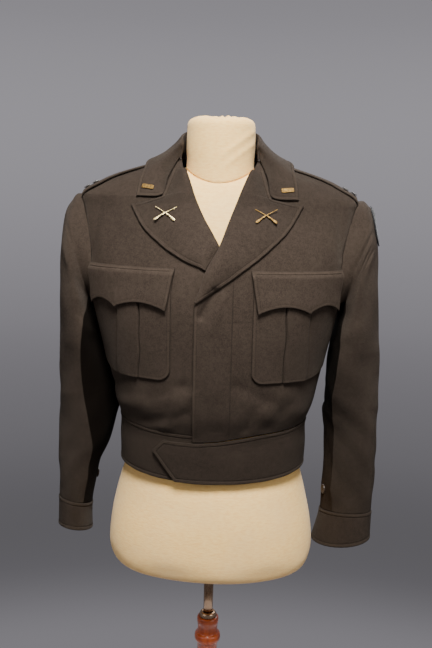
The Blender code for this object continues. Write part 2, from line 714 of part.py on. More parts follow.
def smooth_lapel(edges, along):
    """Rows of a lapel: smooth along its free edge, straight from its point to the notch and on."""
    rows = np.asarray(edges, float)
    smooth = smooth_rows(rows[rows[:, 0] <= LAPEL_POINT], along)
    straight = np.stack([np.interp(along, rows[:, 0], rows[:, k]) for k in (1, 2, 3)], 1)
    return np.where((along <= LAPEL_POINT)[:, None], smooth, straight).T


def build_lapels(parts):
    """The two turned-back lapels; the right one's foot lies flat, under the left one."""
    along = np.array([0.0, 0.07, 0.15, 0.25, 0.35, 0.45, 0.55, 0.63, 0.70, 0.76, 0.82, 0.86, 0.90,
                      0.95, 0.985])

    def left_roll(z):
        return smooth_rows(LEFT_ROLL, z)[:, 0]

    def right_roll(z):
        return np.minimum(smooth_rows(RIGHT_ROLL, z)[:, 0], left_roll(z) - LAPEL_CLEAR)

    outer, inner = lapel_grids(left_roll, LEFT_LAPEL, overlap_lift, along, np.full_like(along, -SIDE))
    wall(parts, "lapel_left", set_back(outer), set_back(inner))
    covered = smooth_lapel(RIGHT_LAPEL, along)[0] < RIGHT_ROLL_FOOT_Z
    first_angle = np.where(covered, COVERED_ANGLE, -SIDE)
    outer, inner = lapel_grids(right_roll, RIGHT_LAPEL, lambda x, z: 0 * x, along, first_angle)
    wall(parts, "lapel_right", set_back(outer), set_back(inner))


def collar_net():
    """Points of the collar's upper face at its stations, from the right end round to the left end."""
    start = on_front(*COLLAR_START)
    normal = unit(on_front(*COLLAR_START, 0.001) - start)
    aside = unit(np.array(COLLAR_BEND_ASIDE))
    reach = FOLD_RADIUS + CLOTH
    centre = start + (FOLD_RADIUS + TOUCH) * normal
    bend = [centre + reach * (math.cos(angle) * aside + math.sin(angle) * normal)
            for angle in COLLAR_BEND]
    end = np.concatenate([np.array(bend), on_front(*np.array(COLLAR_END).T)])
    front = np.array(COLLAR_FRONT)
    corner = np.concatenate([0.5 * (front[:4] + end[:4]), on_front(*np.array(COLLAR_TURN).T)])
    half = np.stack([np.array(COLLAR_BACK), np.array(COLLAR_QUARTER), np.array(COLLAR_SIDE), front,
                     corner, end])
    mirrored = half[:0:-1] * np.array([-1.0, 1.0, 1.0])
    return np.concatenate([mirrored, half])


def build_collar(parts):
    """One sheet: the stand round the neck, the fold, and the fall that ends in two leaves."""
    net = collar_net()
    stations = np.linspace(-5.0, 5.0, 11)
    side = np.array([0.33, 0.66, 1.0, 1.4, 1.8, 2.2, 2.6, 3.0, 3.5, 4.0, 4.5, 5.0])
    at = np.concatenate([-side[::-1], [0.0], side])
    rows = smooth_rows(np.column_stack([stations, net.reshape(11, -1)]), at).reshape(len(at), 7, 3)
    lines = np.arange(7.0)
    across = np.array([0.0, 1.0, 2.0, 2.5, 3.0, 4.0, 5.0, 5.5, 6.0])
    flat = np.moveaxis(rows, 1, 0).reshape(7, -1)
    grid = smooth_rows(np.column_stack([lines, flat]), across).reshape(len(across), len(at), 3)
    grid = np.moveaxis(grid, 0, 1)
    normal = grid_normals(grid)
    if normal[len(at) // 2, -1, 1] < 0:
        normal = -normal
    wall(parts, "collar", grid, grid - normal * CLOTH)
    return grid, normal


def pocket_side(z, inner_side):
    """The pocket's inner or outer edge at a height, with its foot's corners rounded."""
    rise = np.clip((z - POCKET_FOOT_Z) / POCKET_CORNER, 0.0, 1.0)
    cut = POCKET_CORNER * (1 - np.sqrt(1 - (1 - rise) ** 2))
    if inner_side:
        return POCKET_INNER + cut
    full = POCKET_OUTER_FOOT + (POCKET_OUTER_TOP - POCKET_OUTER_FOOT) * ease(
        (z - POCKET_FOOT_Z) / (POCKET_TOP_Z - POCKET_FOOT_Z) * 0.75 + 0.25)
    return full - 1.6 * cut


def pocket_columns(z):
    """Columns of a pocket at each height: to the pleat's first step, over it, and to the far edge."""
    gap = 1.5 * PLEAT_STEP
    inner_x = pocket_side(z, True)[:, None]
    outer_x = pocket_side(z, False)[:, None]
    first_step = PLEAT_INNER - PLEAT_STEP
    last_step = PLEAT_OUTER + PLEAT_STEP
    first = inner_x + (first_step - inner_x) * np.array([0.0, 0.35, 0.7])
    pleat = np.array([first_step, PLEAT_INNER, (PLEAT_INNER + PLEAT_OUTER) / 2, PLEAT_OUTER, last_step])
    pleat = np.minimum(pleat, outer_x - gap * np.arange(9, 4, -1))
    last = last_step + (outer_x - last_step) * np.array([0.4, 0.75, 1.0])
    last = np.maximum(last, pleat[:, -1:] + gap * np.arange(1, 4))
    return np.concatenate([first, pleat, last], 1)


def build_pockets(parts):
    """Patch pockets with a box pleat, and their scalloped flaps."""
    corner = POCKET_FOOT_Z + POCKET_CORNER * (1 - np.cos(np.linspace(0.12, SIDE, 4)))
    z = np.concatenate([corner, np.linspace(corner[-1], POCKET_TOP_Z, 7)[1:]])
    x = pocket_columns(z)
    pocket_height = np.repeat(z[:, None], x.shape[1], axis=1)
    raised = np.array([0, 0, 0, 0, 1, 1, 1, 0, 0, 0, 0]) * PLEAT_HEIGHT
    down = np.array([0.0, 0.10, 0.40, 0.70, 1.0])
    across, foot = np.array(FLAP_EDGE).T
    for side, name in ((-1, "right"), (1, "left")):
        def lift(x, height):
            return overlap_lift(x, height) if side > 0 else 0 * x

        under = lift(x, pocket_height) + POCKET_REST
        outer = on_front(side * x, pocket_height, under + CLOTH + raised)
        inner = on_front(side * x, pocket_height, under)
        wall(parts, f"pocket_{name}", outer, inner)

        share = down[:, None]
        height = FLAP_TOP_Z + (foot - FLAP_TOP_Z) * share
        left = FLAP_INNER[0] + (FLAP_INNER[1] - FLAP_INNER[0]) * share
        right = FLAP_OUTER[0] + (FLAP_OUTER[1] - FLAP_OUTER[0]) * share
        near = turn_at(left + 0 * height, height)
        far = turn_at(right + 0 * height, height)
        turn = near + (far - near) * across
        front_lift = lift(torso_ring(turn, height)[..., 0], height)
        stack = POCKET_REST + CLOTH + PLEAT_HEIGHT + REST
        start, width = FLAP_RISE
        under = front_lift + np.maximum(REST, stack * ease((start - height) / width))
        outer = torso(side * turn, height, under + CLOTH)
        inner = torso(side * turn, height, under)
        wall(parts, f"flap_{name}", outer, inner)


def shoulder_height(x, y):
    """Height of the body's outer face over a point of the shoulder, by halving the interval."""
    low = np.full_like(x, SHOULDER_SEARCH[0])
    high = np.full_like(x, SHOULDER_SEARCH[1])
    for _ in range(40):
        middle = 0.5 * (low + high)
        half_width, front, back, power = np.moveaxis(smooth_rows(TORSO, middle), -1, 0)
        depth = np.where(y < 0, front, back)
        inside = (np.abs(x) / half_width) ** power + (np.abs(y) / depth) ** power < 1
        low = np.where(inside, middle, low)
        high = np.where(inside, high, middle)
    return low


def strap_rise(x):
    """How far the strap's end has risen at an x."""
    start, width, height = STRAP_RISE
    return height * ease((x - start) / width)


def shoulder_point(x, y, lift):
    """Point over the shoulder, moved out along the normal by the lift."""
    def face(px, py):
        return np.stack([px, py, shoulder_height(px, py)], -1)

    step = 0.001
    normal = unit(np.cross(face(x + step, y) - face(x - step, y), face(x, y + step) - face(x, y - step)))
    return face(x, y) + normal * np.asarray(lift)[..., None]


def build_straps(parts):
    """A strap over each shoulder, mirrored from the left one."""
    centre, half_width = smooth_rows(STRAP, STRAP_ROWS).T
    across = np.linspace(-1.0, 1.0, 7)
    y = centre[:, None] + half_width[:, None] * across
    x = np.repeat(np.array(STRAP_ROWS)[:, None], len(across), axis=1)
    under = REST + strap_rise(x)
    outer = shoulder_point(x, y, under + CLOTH)
    inner = shoulder_point(x, y, under)
    mirror = np.array([-1.0, 1.0, 1.0])
    wall(parts, "shoulder_strap_left", outer, inner)
    wall(parts, "shoulder_strap_right", outer * mirror, inner * mirror)


def sleeve_rings(table, stations, side, lift=0.0):
    """Points of a sleeve's outer face and its normals; the first ring is the armhole's edge."""
    swing = np.linspace(0.0, math.pi, ARMHOLE_STEPS + 1)
    round_angle = np.concatenate([swing, math.pi + swing[1:-1]])
    stations = np.asarray(stations, float)
    outer_x, outer_z, inner_x, inner_z, centre_y, half_depth, twist = smooth_rows(
        table, np.maximum(stations, 0.04)).T[..., None]
    away, forward = -np.cos(round_angle), -np.sin(round_angle)
    spin = np.radians(twist)
    half_x = 0.5 * (outer_x - inner_x)
    deep, wide = half_depth * forward, TWIST_HALF_WIDTH * away
    reach = np.hypot(half_depth * np.sin(spin), TWIST_HALF_WIDTH * np.cos(spin))
    turned_x = (wide * np.cos(spin) - deep * np.sin(spin)) / reach * half_x
    turned_y = deep * np.cos(spin) + wide * np.sin(spin)
    blend = ease(np.abs(twist) / FULL_TWIST)
    x = 0.5 * (outer_x + inner_x) + half_x * away + (turned_x - half_x * away) * blend
    y = centre_y + deep + (turned_y - deep) * blend
    z = 0.5 * (outer_z + inner_z) + 0.5 * (outer_z - inner_z) * away
    crease = sleeve_crease(stations[:, None], round_angle)
    rings = np.stack([x, y, z], -1)
    if stations[0] == 0.0:
        height = ARMPIT_Z + (SHOULDER_Z - ARMPIT_Z) * (1 + away) / 2
        opening = armhole_angle(height)
        turn = np.where(round_angle <= math.pi, SIDE - opening, SIDE + opening)
        rings[0] = torso(turn, height)
    normals = grid_normals(rings, wrapped=True)
    middle_point = rings.mean(axis=1, keepdims=True)
    if np.sum(normals * (rings - middle_point)) < 0:
        normals = -normals
    rings = rings + normals * (crease + lift)[..., None]
    if side < 0:
        rings = rings * np.array([-1.0, 1.0, 1.0])
        normals = normals * np.array([-1.0, 1.0, 1.0])
    return rings, normals


def sleeve_crease(along, round_angle):
    """How far a sleeve's creases stand out; they fade at the armhole and at the cuff."""
    height = np.zeros(np.broadcast(along, round_angle).shape)
    for place, turn, half_along, half_round, tall in SLEEVE_FOLDS:
        swing = np.degrees(np.abs(np.angle(np.exp(1j * (round_angle - math.radians(turn))))))
        height = height + tall * np.exp(-(((along - place) / half_along) ** 2)
                                        - (swing / half_round) ** 2)
    return height * ease(along / 0.10) * ease((1.0 - along) / 0.06)


def build_sleeves(parts):
    """Two-piece sleeves with cuffs, and a button beside the under sleeve's seam."""
    columns = 2 * ARMHOLE_STEPS
    front_seam, back_seam = 4, columns - 4
    for side, name, table in ((-1, "right", RIGHT_SLEEVE), (1, "left", LEFT_SLEEVE)):
        rings, normals = sleeve_rings(table, SLEEVE_STATIONS, side)
        inner = rings - normals * CLOTH
        top = np.arange(front_seam, back_seam + 1)
        under = np.arange(back_seam, columns + front_seam + 1) % columns
        wall(parts, f"top_sleeve_{name}", set_back(rings[:, top]), set_back(inner[:, top]))
        wall(parts, f"under_sleeve_{name}", set_back(rings[:, under]), set_back(inner[:, under]))
        rings, normals = sleeve_rings(table, CUFF_STATIONS, side, CUFF_LIFT)
        wall(parts, f"cuff_{name}", set_back(rings, True), set_back(rings - normals * CLOTH, True),
             wrapped=True)


def build_patch(parts):
    """A plain round-cornered patch on the left sleeve's outer side, under the shoulder."""
    stations = np.concatenate([[0.0, 0.04], np.linspace(*PATCH_ALONG, 7)])
    rings, normals = sleeve_rings(LEFT_SLEEVE, stations, 1)
    rings, normals = rings[2:], normals[2:]
    swing = np.linspace(0.0, math.pi, ARMHOLE_STEPS + 1)
    round_angle = np.concatenate([swing, math.pi + swing[1:]])
    rings = np.concatenate([rings, rings[:, :1]], 1)
    normals = np.concatenate([normals, normals[:, :1]], 1)
    down = np.linspace(-1.0, 1.0, 7)
    half = PATCH_ROUND * (1 - 0.55 * np.abs(down) ** 3)
    across = np.linspace(-1.0, 1.0, 7)
    outer = np.empty((7, 7, 3))
    inner = np.empty((7, 7, 3))
    for row in range(7):
        turn = PATCH_TURN + half[row] * across
        face = np.stack([np.interp(turn, round_angle, rings[row, :, k]) for k in range(3)], 1)
        out = unit(np.stack([np.interp(turn, round_angle, normals[row, :, k]) for k in range(3)], 1))
        outer[row] = face + out * (PATCH_LIFT + PATCH_THICKNESS)
        inner[row] = face + out * PATCH_LIFT
    wall(parts, "shoulder_patch", outer, inner, look_name="black_cloth", look=BLACK_CLOTH)


def placed(obj, point, normal, upward, turn=0.0):
    """Stands an object on a surface: its +Z along the normal, its +Y near the upward direction."""
    z_axis = Vector(normal).normalized()
    x_axis = Vector(upward).cross(z_axis).normalized()
    y_axis = z_axis.cross(x_axis)
    frame = Matrix((x_axis, y_axis, z_axis)).transposed()
    spin = Matrix.Rotation(turn, 3, "Z")
    obj.matrix_world = Matrix.Translation(Vector(point)) @ (frame @ spin).to_4x4()
    return obj


def take(parts, name, look_name, look):
    """Names the object just added by an operator and moves it into the jacket's collection."""
    obj = bpy.context.object
    obj.name = name
    obj.data.name = name
    for home in list(obj.users_collection):
        home.objects.unlink(obj)
    parts.objects.link(obj)
    obj.data.materials.append(material(look_name, look))
    return obj


def plate(parts, name, size, look_name, look):
    """A small plate that stands on its underside, with rounded edges."""
    bpy.ops.mesh.primitive_cube_add(size=1.0)
    obj = take(parts, name, look_name, look)
    for vertex in obj.data.vertices:
        vertex.co = (vertex.co.x * size[0], vertex.co.y * size[1], (vertex.co.z + 0.5) * size[2])
    rounding = obj.modifiers.new("rounding", "BEVEL")
    rounding.width = PLATE_ROUNDING
    rounding.segments = 1
    obj.data.shade_smooth()
    obj.data.set_sharp_from_angle(angle=math.radians(40))
    return obj


def long_gun(side):
    """A flat curve of one long gun, in the crossed pair."""
    curve = bpy.data.curves.new("gun_outline", "CURVE")
    curve.dimensions = "2D"
    curve.fill_mode = "BOTH"
    curve.extrude = GUN_THICKNESS / 2
    line = curve.splines.new("POLY")
    line.points.add(len(GUN_OUTLINE) - 1)
    for point, (x, y) in zip(line.points, GUN_OUTLINE):
        reach = np.array([x, y]) * GUN_LENGTH
        along = math.cos(GUN_ANGLE) * reach[0] + math.sin(GUN_ANGLE) * reach[1]
        rise = -math.sin(GUN_ANGLE) * reach[0] + math.cos(GUN_ANGLE) * reach[1]
        point.co = (side * along, rise, 0.0, 1.0)
    line.use_cyclic_u = True
    return curve


def mesh_of_curve(parts, curve, name):
    """A mesh object from a curve, with its caps welded."""
    source = bpy.data.objects.new(name + "_outline", curve)
    parts.objects.link(source)
    bpy.context.view_layer.update()
    evaluated = source.evaluated_get(bpy.context.evaluated_depsgraph_get())
    mesh = bpy.data.meshes.new_from_object(evaluated)
    shell = bmesh.new()
    shell.from_mesh(mesh)
    bmesh.ops.remove_doubles(shell, verts=shell.verts, dist=0.00001)
    bmesh.ops.translate(shell, verts=shell.verts, vec=(0.0, 0.0, GUN_THICKNESS / 2))
    bmesh.ops.recalc_face_normals(shell, faces=shell.faces)
    shell.to_mesh(mesh)
    shell.free()
    bpy.data.objects.remove(source)
    obj = bpy.data.objects.new(name, mesh)
    parts.objects.link(obj)
    return obj


def build_pins(parts, cutters, collar, collar_normal):
    """Bars on the collar leaves and on the straps, and a crossed pair of guns on each lapel."""
    for side, name in ((-1, "right"), (1, "left")):
        away = np.linalg.norm(collar[..., [0, 2]] - np.array([side * BAR_SPOT[0], BAR_SPOT[1]]), axis=-1)
        spot = np.unravel_index(np.argmin(away), away.shape)
        point, out = collar[spot], collar_normal[spot]
        pin = plate(parts, f"collar_bar_{name}", BAR_PIN, "brass", BRASS)
        placed(pin, point + out * BAR_STAND, out, (0.0, 0.0, 1.0), side * BAR_TURN)
        mirror = np.array([side, 1.0, 1.0])
        for number, x in enumerate(RANK_BAR_X, 1):
            place = (np.array(x), np.array(RANK_BAR_Y))
            lift = REST + CLOTH + strap_rise(x) + RANK_BAR_STAND
            seat = shoulder_point(*place, lift)
            above = shoulder_point(*place, lift + 0.001)
            bar = plate(parts, f"rank_bar_{name}_{number}", RANK_BAR, "dark_silver", DARK_SILVER)
            placed(bar, seat * mirror, (above - seat) * mirror, (0.0, 1.0, 0.0))
        place = (np.array(side * GUN_SPOT[0]), np.array(GUN_SPOT[1]))
        height = REST + CLOTH + GUN_STAND + (overlap_lift(*place) if side > 0 else 0.0)
        seat = on_front(*place, height)
        normal = on_front(*place, height + 0.001) - seat
        guns = mesh_of_curve(parts, long_gun(1), f"crossed_guns_{name}")
        other = mesh_of_curve(parts, long_gun(-1), f"second_gun_{name}")
        parts.objects.unlink(other)
        cutters.objects.link(other)
        other.hide_render = True
        other.display_type = "WIRE"
        joined = guns.modifiers.new("joined", "BOOLEAN")
        joined.operation = "UNION"
        joined.object = other
        guns.data.materials.append(material("brass", BRASS))
        placed(guns, seat, normal, (0.0, 0.0, 1.0))
        placed(other, seat, normal, (0.0, 0.0, 1.0))


def build_buttons(parts):
    """A button on each sleeve, just above the cuff, on the side that faces the body."""
    for side, name, table in ((-1, "right", RIGHT_SLEEVE), (1, "left", LEFT_SLEEVE)):
        rings, normals = sleeve_rings(table, BUTTON_STATIONS, side)
        point, out = rings[1, BUTTON_COLUMN], normals[1, BUTTON_COLUMN]
        bpy.ops.mesh.primitive_cylinder_add(vertices=16, radius=BUTTON_RADIUS, depth=BUTTON_THICKNESS)
        button = take(parts, f"cuff_button_{name}", "button_brown", BUTTON_BROWN)
        rounding = button.modifiers.new("rounding", "BEVEL")
        rounding.width = BUTTON_ROUNDING
        rounding.segments = 1
        rounding.limit_method = "ANGLE"
        placed(button, point + out * (BUTTON_THICKNESS / 2 + BUTTON_STAND), out, (0.0, 0.0, 1.0))


def form_rings(table, power):
    """Rings of the dress form, each a superellipse whose height changes round it."""
    turn = np.linspace(0.0, 2 * math.pi, FORM_COLUMNS, endpoint=False)
    sine, cosine = np.sin(turn), np.cos(turn)
    half_width, front, back, centre_y, front_z, side_z, back_z = np.asarray(table).T[..., None]
    x = half_width * np.sign(sine) * np.abs(sine) ** (2 / power)
    y = centre_y - np.where(cosine > 0, front, back) * np.sign(cosine) * np.abs(cosine) ** (2 / power)
    end_z = np.where(cosine > 0, front_z, back_z)
    z = side_z + (end_z - side_z) * cosine**2
    return np.stack([x, y, z], -1)


def lofted_solid(parts, name, rings, look_name, look):
    """A solid through rings, closed by a fan at its foot and at its top."""
    rows, columns = rings.shape[:2]
    number = np.arange(rows * columns).reshape(rows, columns)
    wrap = np.hstack([number, number[:, :1]])
    faces = np.stack([wrap[:-1, :-1], wrap[:-1, 1:], wrap[1:, 1:], wrap[1:, :-1]], -1)
    faces = faces.reshape(-1, 4).tolist()
    foot, head = rows * columns, rows * columns + 1
    for i in range(columns):
        faces.append([wrap[0, i + 1], wrap[0, i], foot])
        faces.append([wrap[-1, i], wrap[-1, i + 1], head])
    ends = np.stack([rings[0].mean(axis=0), rings[-1].mean(axis=0)])
    return add_mesh(parts, name, np.concatenate([rings.reshape(-1, 3), ends]),
                    [[int(i) for i in face] for face in faces], look_name, look)


def turned(parts, name, profile, segments, look_name, look):
    """A profile in the XZ plane turned round the Z axis."""
    mesh = bpy.data.meshes.new(name)
    points = [(radius, 0.0, height) for radius, height in profile]
    closed = profile[0][0] > 0 and profile[-1][0] > 0
    edges = [(i, i + 1) for i in range(len(points) - 1)]
    if closed:
        edges.append((len(points) - 1, 0))
    mesh.from_pydata(points, edges, [])
    obj = bpy.data.objects.new(name, mesh)
    parts.objects.link(obj)
    screw = obj.modifiers.new("turned", "SCREW")
    screw.axis = "Z"
    screw.steps = segments
    screw.render_steps = segments
    screw.use_merge_vertices = True
    screw.merge_threshold = 0.00001
    mesh.materials.append(material(look_name, look))
    return obj


def build_stand(parts):
    """Dress form, neck cap, rod, metal cup, turned pole and round base."""
    lofted_solid(parts, "form_body", form_rings(FORM, FORM_POWER), "knit", KNIT)
    lofted_solid(parts, "form_neck", form_rings(NECK_CAP, NECK_POWER), "knit", KNIT)
    rod_foot_z = POLE_TOP_Z + TOUCH
    rod = ((0.0, ROD_TOP_Z), (ROD_RADIUS, ROD_TOP_Z), (ROD_RADIUS, rod_foot_z), (0.0, rod_foot_z))
    turned(parts, "rod", rod, ROD_SIDES, "steel", STEEL)
    turned(parts, "rod_cup", CUP, ROD_SIDES, "steel", STEEL)
    turned(parts, "pole", POLE, POLE_SIDES, "wood", WOOD)
    turned(parts, "base", BASE, BASE_SIDES, "wood", WOOD)


def main():
    parts = clear_scene()
    cutters = bpy.data.collections.new("cutters")
    bpy.context.scene.collection.children.link(cutters)
    build_body(parts)
    build_waistband(parts)
    build_lapels(parts)
    collar, collar_normal = build_collar(parts)
    build_pockets(parts)
    build_straps(parts)
    build_sleeves(parts)
    build_patch(parts)
    build_pins(parts, cutters, collar, collar_normal)
    build_buttons(parts)
    build_stand(parts)


main()
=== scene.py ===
"""Looks of a waist-length wool uniform jacket, worn by a limbless dress form on a turned stand."""

import math

import bmesh
import bpy
import numpy as np
from mathutils import Matrix, Vector


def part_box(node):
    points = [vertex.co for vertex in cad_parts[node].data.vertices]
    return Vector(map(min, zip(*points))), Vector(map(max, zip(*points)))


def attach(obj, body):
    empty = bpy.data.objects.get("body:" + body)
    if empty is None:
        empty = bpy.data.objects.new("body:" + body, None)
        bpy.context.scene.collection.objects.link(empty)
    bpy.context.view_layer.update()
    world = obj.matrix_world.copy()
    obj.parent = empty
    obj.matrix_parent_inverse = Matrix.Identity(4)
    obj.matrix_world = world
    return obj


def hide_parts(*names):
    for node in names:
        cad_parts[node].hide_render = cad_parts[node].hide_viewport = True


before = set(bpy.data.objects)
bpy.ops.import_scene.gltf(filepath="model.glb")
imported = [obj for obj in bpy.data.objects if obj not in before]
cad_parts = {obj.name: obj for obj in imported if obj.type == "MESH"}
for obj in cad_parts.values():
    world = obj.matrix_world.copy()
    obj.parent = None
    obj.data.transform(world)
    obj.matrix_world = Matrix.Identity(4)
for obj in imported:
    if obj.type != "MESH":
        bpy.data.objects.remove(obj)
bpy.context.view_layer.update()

# The stand's base and pole are turned from one hardwood, stained red-brown and varnished to a gloss.
# The pole is glued into the base; its bead and cove under the cup are what the photograph shows.


class Value:
    """A number that varies over a surface; arithmetic on it adds Math nodes to its tree."""

    def __init__(self, nodes, socket):
        self.nodes = nodes
        self.socket = socket

    def maths(self, operation, *inputs, **settings):
        settings["operation"] = operation
        made = self.nodes.node("ShaderNodeMath", settings, dict(enumerate((self, *inputs))))
        return Value(self.nodes, made.outputs[0])

    def __add__(self, other):
        return self.maths("ADD", other)

    __radd__ = __add__

    def __mul__(self, other):
        return self.maths("MULTIPLY", other)

    __rmul__ = __mul__

    def __sub__(self, other):
        return self.maths("SUBTRACT", other)

    def __rsub__(self, other):
        return self * -1.0 + other

    def clipped(self):
        """The value kept between 0 and 1."""
        return self.maths("ADD", 0.0, use_clamp=True)

    def past(self, start, gain):
        """0 up to the start, then rising to 1 over one divided by the gain; falling if that is negative."""
        return ((self - start) * gain).clipped()

    def wave(self, pitch):
        """Sine of the value with that pitch, brought between 0 and 1."""
        return (self * (2 * math.pi / pitch)).maths("SINE") * 0.5 + 0.5

    def near(self, centre, width):
        """1 where the value is at the centre, falling to 0 at that width from it."""
        return (1.0 - (self - centre).maths("ABSOLUTE") * (1.0 / width)).clipped()


class Nodes:
    """A node tree, whose nodes are all made by one method."""

    def __init__(self, owner):
        owner.use_nodes = True
        self.tree = owner.node_tree

    def node(self, kind, settings=None, sockets=None):
        """Adds a node of that kind, with its settings first and then its sockets' values or links. The
        setting stops gives a ramp's places and colours, joined by a smooth curve."""
        made = self.tree.nodes.new(kind)
        for key, value in (settings or {}).items():
            if key == "stops":
                made.color_ramp.interpolation = "CARDINAL"
                first, *between, last = value
                for stop, given in zip(made.color_ramp.elements, (first, last)):
                    stop.position, stop.color = given
                for position, colour in between:
                    made.color_ramp.elements.new(position).color = colour
            else:
                setattr(made, key, value)
        for key, value in (sockets or {}).items():
            self.join(made.inputs[key], value)
        return made

    def join(self, socket, value):
        """Gives a socket its constant, or links a value or another node's socket to it."""
        if isinstance(value, Value):
            value = value.socket
        if isinstance(value, bpy.types.NodeSocket):
            self.tree.links.new(value, socket)
        else:
            socket.default_value = value

    def axes(self, place):
        """The three coordinates of a place as values."""
        split = self.node("ShaderNodeSeparateXYZ", None, {"Vector": place})
        return [Value(self, split.outputs[k]) for k in range(3)]


class Finish(Nodes):
    """A material whose shader takes constants by name and varying values worked out by nodes."""

    def __init__(self, name, **constants):
        self.material = bpy.data.materials.new(name)
        super().__init__(self.material)
        self.shader = self.tree.nodes["Principled BSDF"]
        for socket, value in constants.items():
            self.shader.inputs[socket.replace("_", " ")].default_value = value

    def place(self, stretch=(1.0, 1.0, 1.0), uv_map=None):
        """Coordinates of the surface: the object's own, or a UV map's, multiplied by the stretch."""
        if uv_map:
            source = self.node("ShaderNodeUVMap", {"uv_map": uv_map}).outputs["UV"]
        else:
            source = self.node("ShaderNodeTexCoord").outputs["Object"]
        scaled = self.node("ShaderNodeMapping", None, {"Vector": source, "Scale": stretch})
        return scaled.outputs["Vector"]

    def noise(self, place, scale, detail=2.0, roughness=0.5):
        """Noise from about 0.3 to 0.7 whose lumps are a unit over the scale across."""
        made = self.node("ShaderNodeTexNoise", None, {"Vector": place, "Scale": scale, "Detail": detail,
                                                      "Roughness": roughness})
        return Value(self, made.outputs["Fac"])

    def blend(self, share, first, second):
        """A colour between two others, each a socket or its red, green and blue."""
        first, second = [(*tone, 1.0) if isinstance(tone, tuple) else tone for tone in (first, second)]
        made = self.node("ShaderNodeMix", {"data_type": "RGBA"}, {0: share, 6: first, 7: second})
        return made.outputs[2]

    def relief(self, height, distance):
        """Bumps of that greatest depth in metres, from a height between 0 and 1."""
        bump = self.node("ShaderNodeBump", None, {"Height": height, "Distance": distance, "Strength": 1.0})
        self.join(self.shader.inputs["Normal"], bump.outputs["Normal"])

    def vary(self, **sockets):
        """Links varying values to the shader's sockets."""
        for socket, value in sockets.items():
            self.join(self.shader.inputs[socket.replace("_", " ")], value)


def smooth_rows(table, at):
    """Columns of a table at places in its first column: on each span a cubic through both ends, whose
    slopes there are the neighbouring spans' slopes weighted by the other span's length."""
    rows = np.asarray(table, float)
    order = np.argsort(rows[:, 0])
    key, value = rows[order, 0], rows[order, 1:]
    at = np.asarray(at, float)
    step = np.diff(key)[:, None]
    slope = np.diff(value, axis=0) / step
    tangent = np.empty_like(value)
    tangent[0], tangent[-1] = slope[0], slope[-1]
    tangent[1:-1] = (slope[:-1] * step[1:] + slope[1:] * step[:-1]) / (step[1:] + step[:-1])
    place = np.clip(np.searchsorted(key, at, side="right") - 1, 0, len(key) - 2)
    span = (key[place + 1] - key[place])[..., None]
    s = np.clip((at - key[place])[..., None] / span, 0.0, 1.0)
    return ((2 * s**3 - 3 * s**2 + 1) * value[place] + (s**3 - 2 * s**2 + s) * span * tangent[place]
            + (3 * s**2 - 2 * s**3) * value[place + 1] + (s**3 - s**2) * span * tangent[place + 1])


def ease(value):
    """Smooth step: 3s squared less 2s cubed of the value kept between 0 and 1."""
    s = np.clip(value, 0.0, 1.0)
    return s * s * (3 - 2 * s)


def unit(vectors):
    """The same directions with length one."""
    return vectors / np.maximum(np.linalg.norm(vectors, axis=-1, keepdims=True), 1e-12)


def cells(grid):
    """The four corners of every cell of a grid, in order round the cell."""
    return np.stack([grid[:-1, :-1], grid[:-1, 1:], grid[1:, 1:], grid[1:, :-1]], 2)


def ringed(grid):
    """A grid whose first column is repeated after its last one."""
    return np.concatenate([grid, grid[:, :1]], axis=1)


def put_in(name, points, faces, finishes, slot, node, second=None, corners=None, sharp=50):
    """Makes the piece's mesh, turns its faces outward, gives it its finishes and body, and hides its node.
    second is the first and last of the faces with the second finish. corners maps a UV map's name to one
    pair for each corner of each face, in the faces' order. The slot is not used."""
    mesh = bpy.data.meshes.new(name)
    mesh.from_pydata(points.reshape(-1, 3).tolist(), [], faces)
    for uv_name, pairs in (corners or {}).items():
        mesh.uv_layers.new(name=uv_name).data.foreach_set("uv", pairs.astype(np.float32).ravel())
    for finish in finishes:
        mesh.materials.append(finish.material)
    if second:
        index = np.zeros(len(faces), np.int32)
        index[slice(*second)] = 1
        mesh.polygons.foreach_set("material_index", index)
    shell = bmesh.new()
    shell.from_mesh(mesh)
    bmesh.ops.remove_doubles(shell, verts=shell.verts, dist=1e-6)
    bmesh.ops.recalc_face_normals(shell, faces=shell.faces)
    shell.to_mesh(mesh)
    shell.free()
    mesh.shade_smooth()
    mesh.set_sharp_from_angle(angle=math.radians(sharp))
    obj = bpy.data.objects.new(name, mesh)
    bpy.context.scene.collection.objects.link(obj)
    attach(obj, "root")
    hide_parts(node)
    return obj


def closed_rings(rings, first=0):
    """Points and faces of rings joined one to the next, with a fan over the first and the last. The
    points are numbered from the first number on."""
    rows, columns = rings.shape[:2]
    wrap = ringed(first + np.arange(rows * columns).reshape(rows, columns))
    faces = cells(wrap).reshape(-1, 4).tolist()
    foot, head = first + rows * columns, first + rows * columns + 1
    faces += np.stack([wrap[0, 1:], wrap[0, :-1], np.full(columns, foot)], 1).tolist()
    faces += np.stack([wrap[-1, :-1], wrap[-1, 1:], np.full(columns, head)], 1).tolist()
    ends = np.stack([rings[0].mean(axis=0), rings[-1].mean(axis=0)])
    return np.concatenate([rings.reshape(-1, 3), ends]), faces


def turned(profile, sides):
    """Rings of a turned piece: each point of the profile goes once round the Z axis."""
    angle = np.linspace(0.0, 2 * math.pi, sides, endpoint=False)
    radius, height = profile[:, :1], profile[:, 1:]
    return np.stack([radius * np.cos(angle), radius * np.sin(angle), height + 0 * angle], -1)


def rounded_line(corners, steps):
    """A profile through the corners, on a smooth curve by its length along them."""
    points = np.asarray(corners, float)
    length = np.concatenate([[0.0], np.cumsum(np.linalg.norm(np.diff(points, axis=0), axis=1))])
    return smooth_rows(np.column_stack([length, points]), np.linspace(0.0, length[-1], steps))


